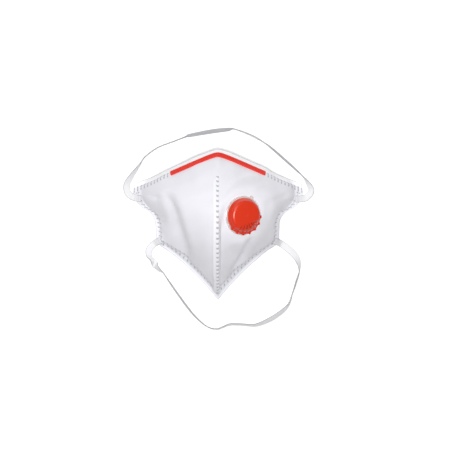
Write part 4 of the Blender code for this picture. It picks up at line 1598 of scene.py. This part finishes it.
@dataclass
class HeadStrap:
    """A flat elastic strap that lies on the table from wing to wing, twisting as it goes.

    Each stop on its route is (x, y, roll), in mm and degrees. Roll 0 lies flat,
    and at 90 the band stands on its edge.
    """

    form: BodyForm
    name: str
    node: str
    stops: tuple[tuple[float, float, float], ...]
    width: float = 6.5 * MM
    thick: float = 0.85 * MM
    ribs: float = 1.05 * MM
    feel: float = 1.6 * MM  # how far round each point the height under it is felt
    clearance: float = 0.15 * MM

    def build(self, material: Material) -> None:
        """Args:
            material: Its finish.
        """
        stops = np.array(self.stops) * (MM, MM, math.pi / 180)
        line = evenly(smooth_through(stops, 16), 0.8 * MM)
        centre = self.rest(line)
        rings, across = self.band(centre, line[:, 2])
        run = run_lengths(centre)
        end = np.minimum(run, run[-1] - run)
        behind = (np.arange(len(across)) < SECTION_POINTS - 2).astype(float)
        shell = Shell()
        shell.bar(rings, band=triple(run[:, None], across, end[:, None]),
                  back=np.broadcast_to(behind[None, :, None], rings.shape))
        piece = settle(shell, self.name, self.node, MASK_BODY, material, 60)
        log.info("%s: %.4f m long", self.name, run[-1])

    def rest(self, line: Array) -> Array:
        """Lays the band's middle on the fabric or the table.

        Args:
            line: x, y and roll along the route.

        Returns:
            The middle's points.
        """
        x, y, roll = line.T
        half = self.width / 2 * np.abs(np.sin(roll)) + self.thick / 2 * np.abs(np.cos(roll))
        reach = np.linspace(-1, 1, 7) * self.feel
        dx, dy = np.meshgrid(reach, reach)
        near_x, near_y = x[:, None, None] + dx, y[:, None, None] + dy
        top = self.form.face(near_x, near_y)[..., 2]
        floor = np.where(self.form.inside(near_x, near_y), top, 0).max(axis=(1, 2))
        return triple(x, y, soften(floor, 5) + half + self.clearance)

    def band(self, centre: Array, roll: Array) -> tuple[Array, Array]:
        """The band's surface: a flat ribbed section carried along its middle and rolled.

        Args:
            centre: The middle's points.
            roll: The roll at each one.

        Returns:
            Rings of points, and each section point's place across the band.
        """
        along = unit(np.gradient(centre, axis=0))
        level = unit(np.cross(along, np.array([0, 0, 1.0])))
        up = unit(np.cross(level, along))
        angle = roll + self.fabric_tilt(centre, level, up)
        across_vector = np.cos(angle)[:, None] * level + np.sin(angle)[:, None] * up
        out_vector = np.cross(across_vector, along)
        a = np.cos(np.linspace(0, math.pi, SECTION_POINTS))
        edge = (1 - np.abs(a)**10)**0.5
        rib = 1 + 0.10 * np.cos(a * self.width / 2 / self.ribs * 2 * math.pi)
        across = np.concatenate([a, a[-2:0:-1]]) * self.width / 2
        lift = np.concatenate([edge * rib, -(edge * rib)[-2:0:-1]]) * self.thick / 2
        rings = (centre[:, None] + across[None, :, None] * across_vector[:, None]
                 + lift[None, :, None] * out_vector[:, None])
        return rings[:, ::-1], across[::-1]

    def fabric_tilt(self, centre: Array, level: Array, up: Array) -> Array:
        """How far the band leans so that its ends lie flat on the fabric's slope."""
        over = self.form.inside(centre[:, 0], centre[:, 1]).astype(float)
        normal = self.form.normals(centre[:, 0], centre[:, 1])
        lean = np.arctan2(-(normal * level).sum(1), np.clip((normal * up).sum(1), 0.2, None))
        return soften(over * lean, 6)


UPPER_STOPS = (
    (-77, 26, 0), (-84, 27.3, 0), (-90, 31.8, -8), (-91.2, 39.8, -22), (-86, 49, -48),
    (-78, 60, -80), (-72.7, 67.8, -88), (-60, 77, -90), (-42, 84, -92), (-32, 88, -100),
    (-28, 89.3, -118), (-6, 93.3, -128), (10, 95.2, -120), (16.7, 95.4, -94), (34, 88.8, -82),
    (46, 82, -90), (53.4, 76.7, -104), (72.6, 59.8, -106), (84, 49, -92), (91.5, 38.8, -42),
    (93, 33, -26), (88.5, 27.4, -8), (84, 26, 0), (77.5, 25.6, 0),
)
LOWER_STOPS = (
    (-57, -15.5, 0), (-63.7, -18.8, 0), (-68.8, -24.9, 8), (-68.8, -30.5, 34), (-66, -34.5, 58),
    (-63.5, -38.5, 10), (-61.5, -42, -48), (-58.5, -45.2, -62), (-54.5, -48.5, -84),
    (-47.4, -58.5, -98), (-40.2, -68.8, -100), (-32.1, -80, -100), (-23.9, -90.2, -98),
    (-14.7, -99, -92), (-7.6, -103.2, -86), (-0.4, -104.2, -80), (5.7, -102, -78),
    (12.8, -99.6, -72), (24, -99.7, -74), (35.3, -100.6, -68), (44.4, -98.2, -56),
    (54.7, -93.2, -48), (64.9, -86, -54), (71, -79, -72), (74, -69.8, -88),
    (78.1, -56.5, -100), (81.2, -46.3, -86), (80.7, -38.2, -50), (77.1, -31, -20),
    (71, -24.9, -4), (62.8, -18.8, 0), (56.5, -16.3, 0),
)


# --- studio ---------------------------------------------------------------------------


# Each light's name, place, size in metres and power in watts.
LAMPS = (("key", (-0.45, 1.25, 1.7), 0.8, 10.0), ("overhead", (0.0, -0.05, 2.2), 0.6, 47.0))


@dataclass
class Studio:
    """Floor, soft lights and a camera that looks straight down on the mask."""

    camera_distance: float = 3.0
    view_width: float = 0.458
    centre: tuple[float, float] = (0.011, -0.00425)
    floor_size: float = 6.0
    floor_drop: float = 0.02 * MM
    world_strength: float = 0.08

    def build(self) -> None:
        """Makes the floor, the lights, the world and the camera."""
        self.make_camera()
        self.make_floor()
        self.make_lights()

    def make_camera(self) -> None:
        """Makes a long-lens camera overhead, with the nose at the top of the picture."""
        data = bpy.data.cameras.new("camera")
        data.sensor_width = 36
        data.lens = data.sensor_width * self.camera_distance / self.view_width
        data.clip_end = 20
        camera = linked("camera", data)
        camera.location = (*self.centre, self.camera_distance)
        bpy.context.scene.camera = camera

    def make_floor(self) -> None:
        """Makes a wide plain floor just under the mask."""
        corners = self.floor_size / 2 * np.array([(-1, -1, 0), (1, -1, 0), (1, 1, 0), (-1, 1, 0)])
        mesh = bpy.data.meshes.new("floor")
        mesh.from_pydata((corners - (0, 0, self.floor_drop)).tolist(), [], [(0, 1, 2, 3)])
        floor = linked("floor", mesh)
        dress(floor, FloorFinish("pale_floor").material())

    def make_lights(self) -> None:
        """Makes an overhead light, a key from beyond the nose, and a faint pale world."""
        for name, place, size, power in LAMPS:
            data = bpy.data.lights.new(name, "AREA")
            data.size = size
            data.energy = power
            lamp = linked(name, data)
            lamp.location = place
            lamp.rotation_euler = (-Vector(place)).to_track_quat("-Z", "Y").to_euler()
        world = bpy.data.worlds.new("studio")
        world.use_nodes = True
        background = world.node_tree.nodes["Background"].inputs
        background["Color"].default_value = (1, 1, 1, 1)
        background["Strength"].default_value = self.world_strength
        bpy.context.scene.world = world
        bpy.context.scene.view_settings.view_transform = "Standard"


# --- assembly -------------------------------------------------------------------------


CREASES = (
    Crease(((-52, 36), (-49, 28), (-44, 14), (-38, -3), (-33.5, -17), (-29, -33), (-24, -45)),
           4.2, 7.0, 1.0),
    Crease(((-62, 34), (-60, 24), (-56, 10), (-52, -6)), 1.3, 4.5, 0.8),
    Crease(((67, 20), (61, 6), (56, -6)), 1.5, 5.0, -0.6),
    Crease(((52, 30), (49, 14), (47, -2)), 0.7, 4.0, -0.5),
    Crease(((34, -8), (29, -20), (24, -31), (17, -43), (8, -60)), 2.7, 3.8, -1.0),
    Crease(((72, 33), (63, 26), (54, 25)), 0.7, 2.4, 0.4),
    Crease(((74, 26), (66, 18), (59, 15)), 0.6, 2.2, 0.4),
    Crease(((-72, 32), (-64, 27), (-55, 28)), 0.6, 2.6, -0.3),
    Crease(((46, -18), (38, -26), (30, -36)), 0.7, 3.2, 0.5),
)


def mask_form() -> BodyForm:
    """The body's form, its overall sizes read from the cover's box in the frame."""
    low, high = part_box("outer_cover")
    return BodyForm(wing=(high[0] - low[0]) / 2, length=high[1] - low[1], creases=CREASES)


def main() -> None:
    """Builds the camera and the straps first, then the rest of the mask."""
    logging.basicConfig(level=logging.INFO, format="%(name)s: %(message)s")
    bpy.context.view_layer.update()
    form = mask_form()
    Studio().build()
    elastic = ElasticFinish("white_elastic").material()
    HeadStrap(form, "upper_head_strap", "upper_strap", UPPER_STOPS).build(elastic)
    HeadStrap(form, "lower_head_strap", "lower_strap", LOWER_STOPS).build(elastic)
    MaskBody(form).build()
    NoseClip(form).build()
    ExhalationValve(form).build()


if __name__ == "__main__":
    main()
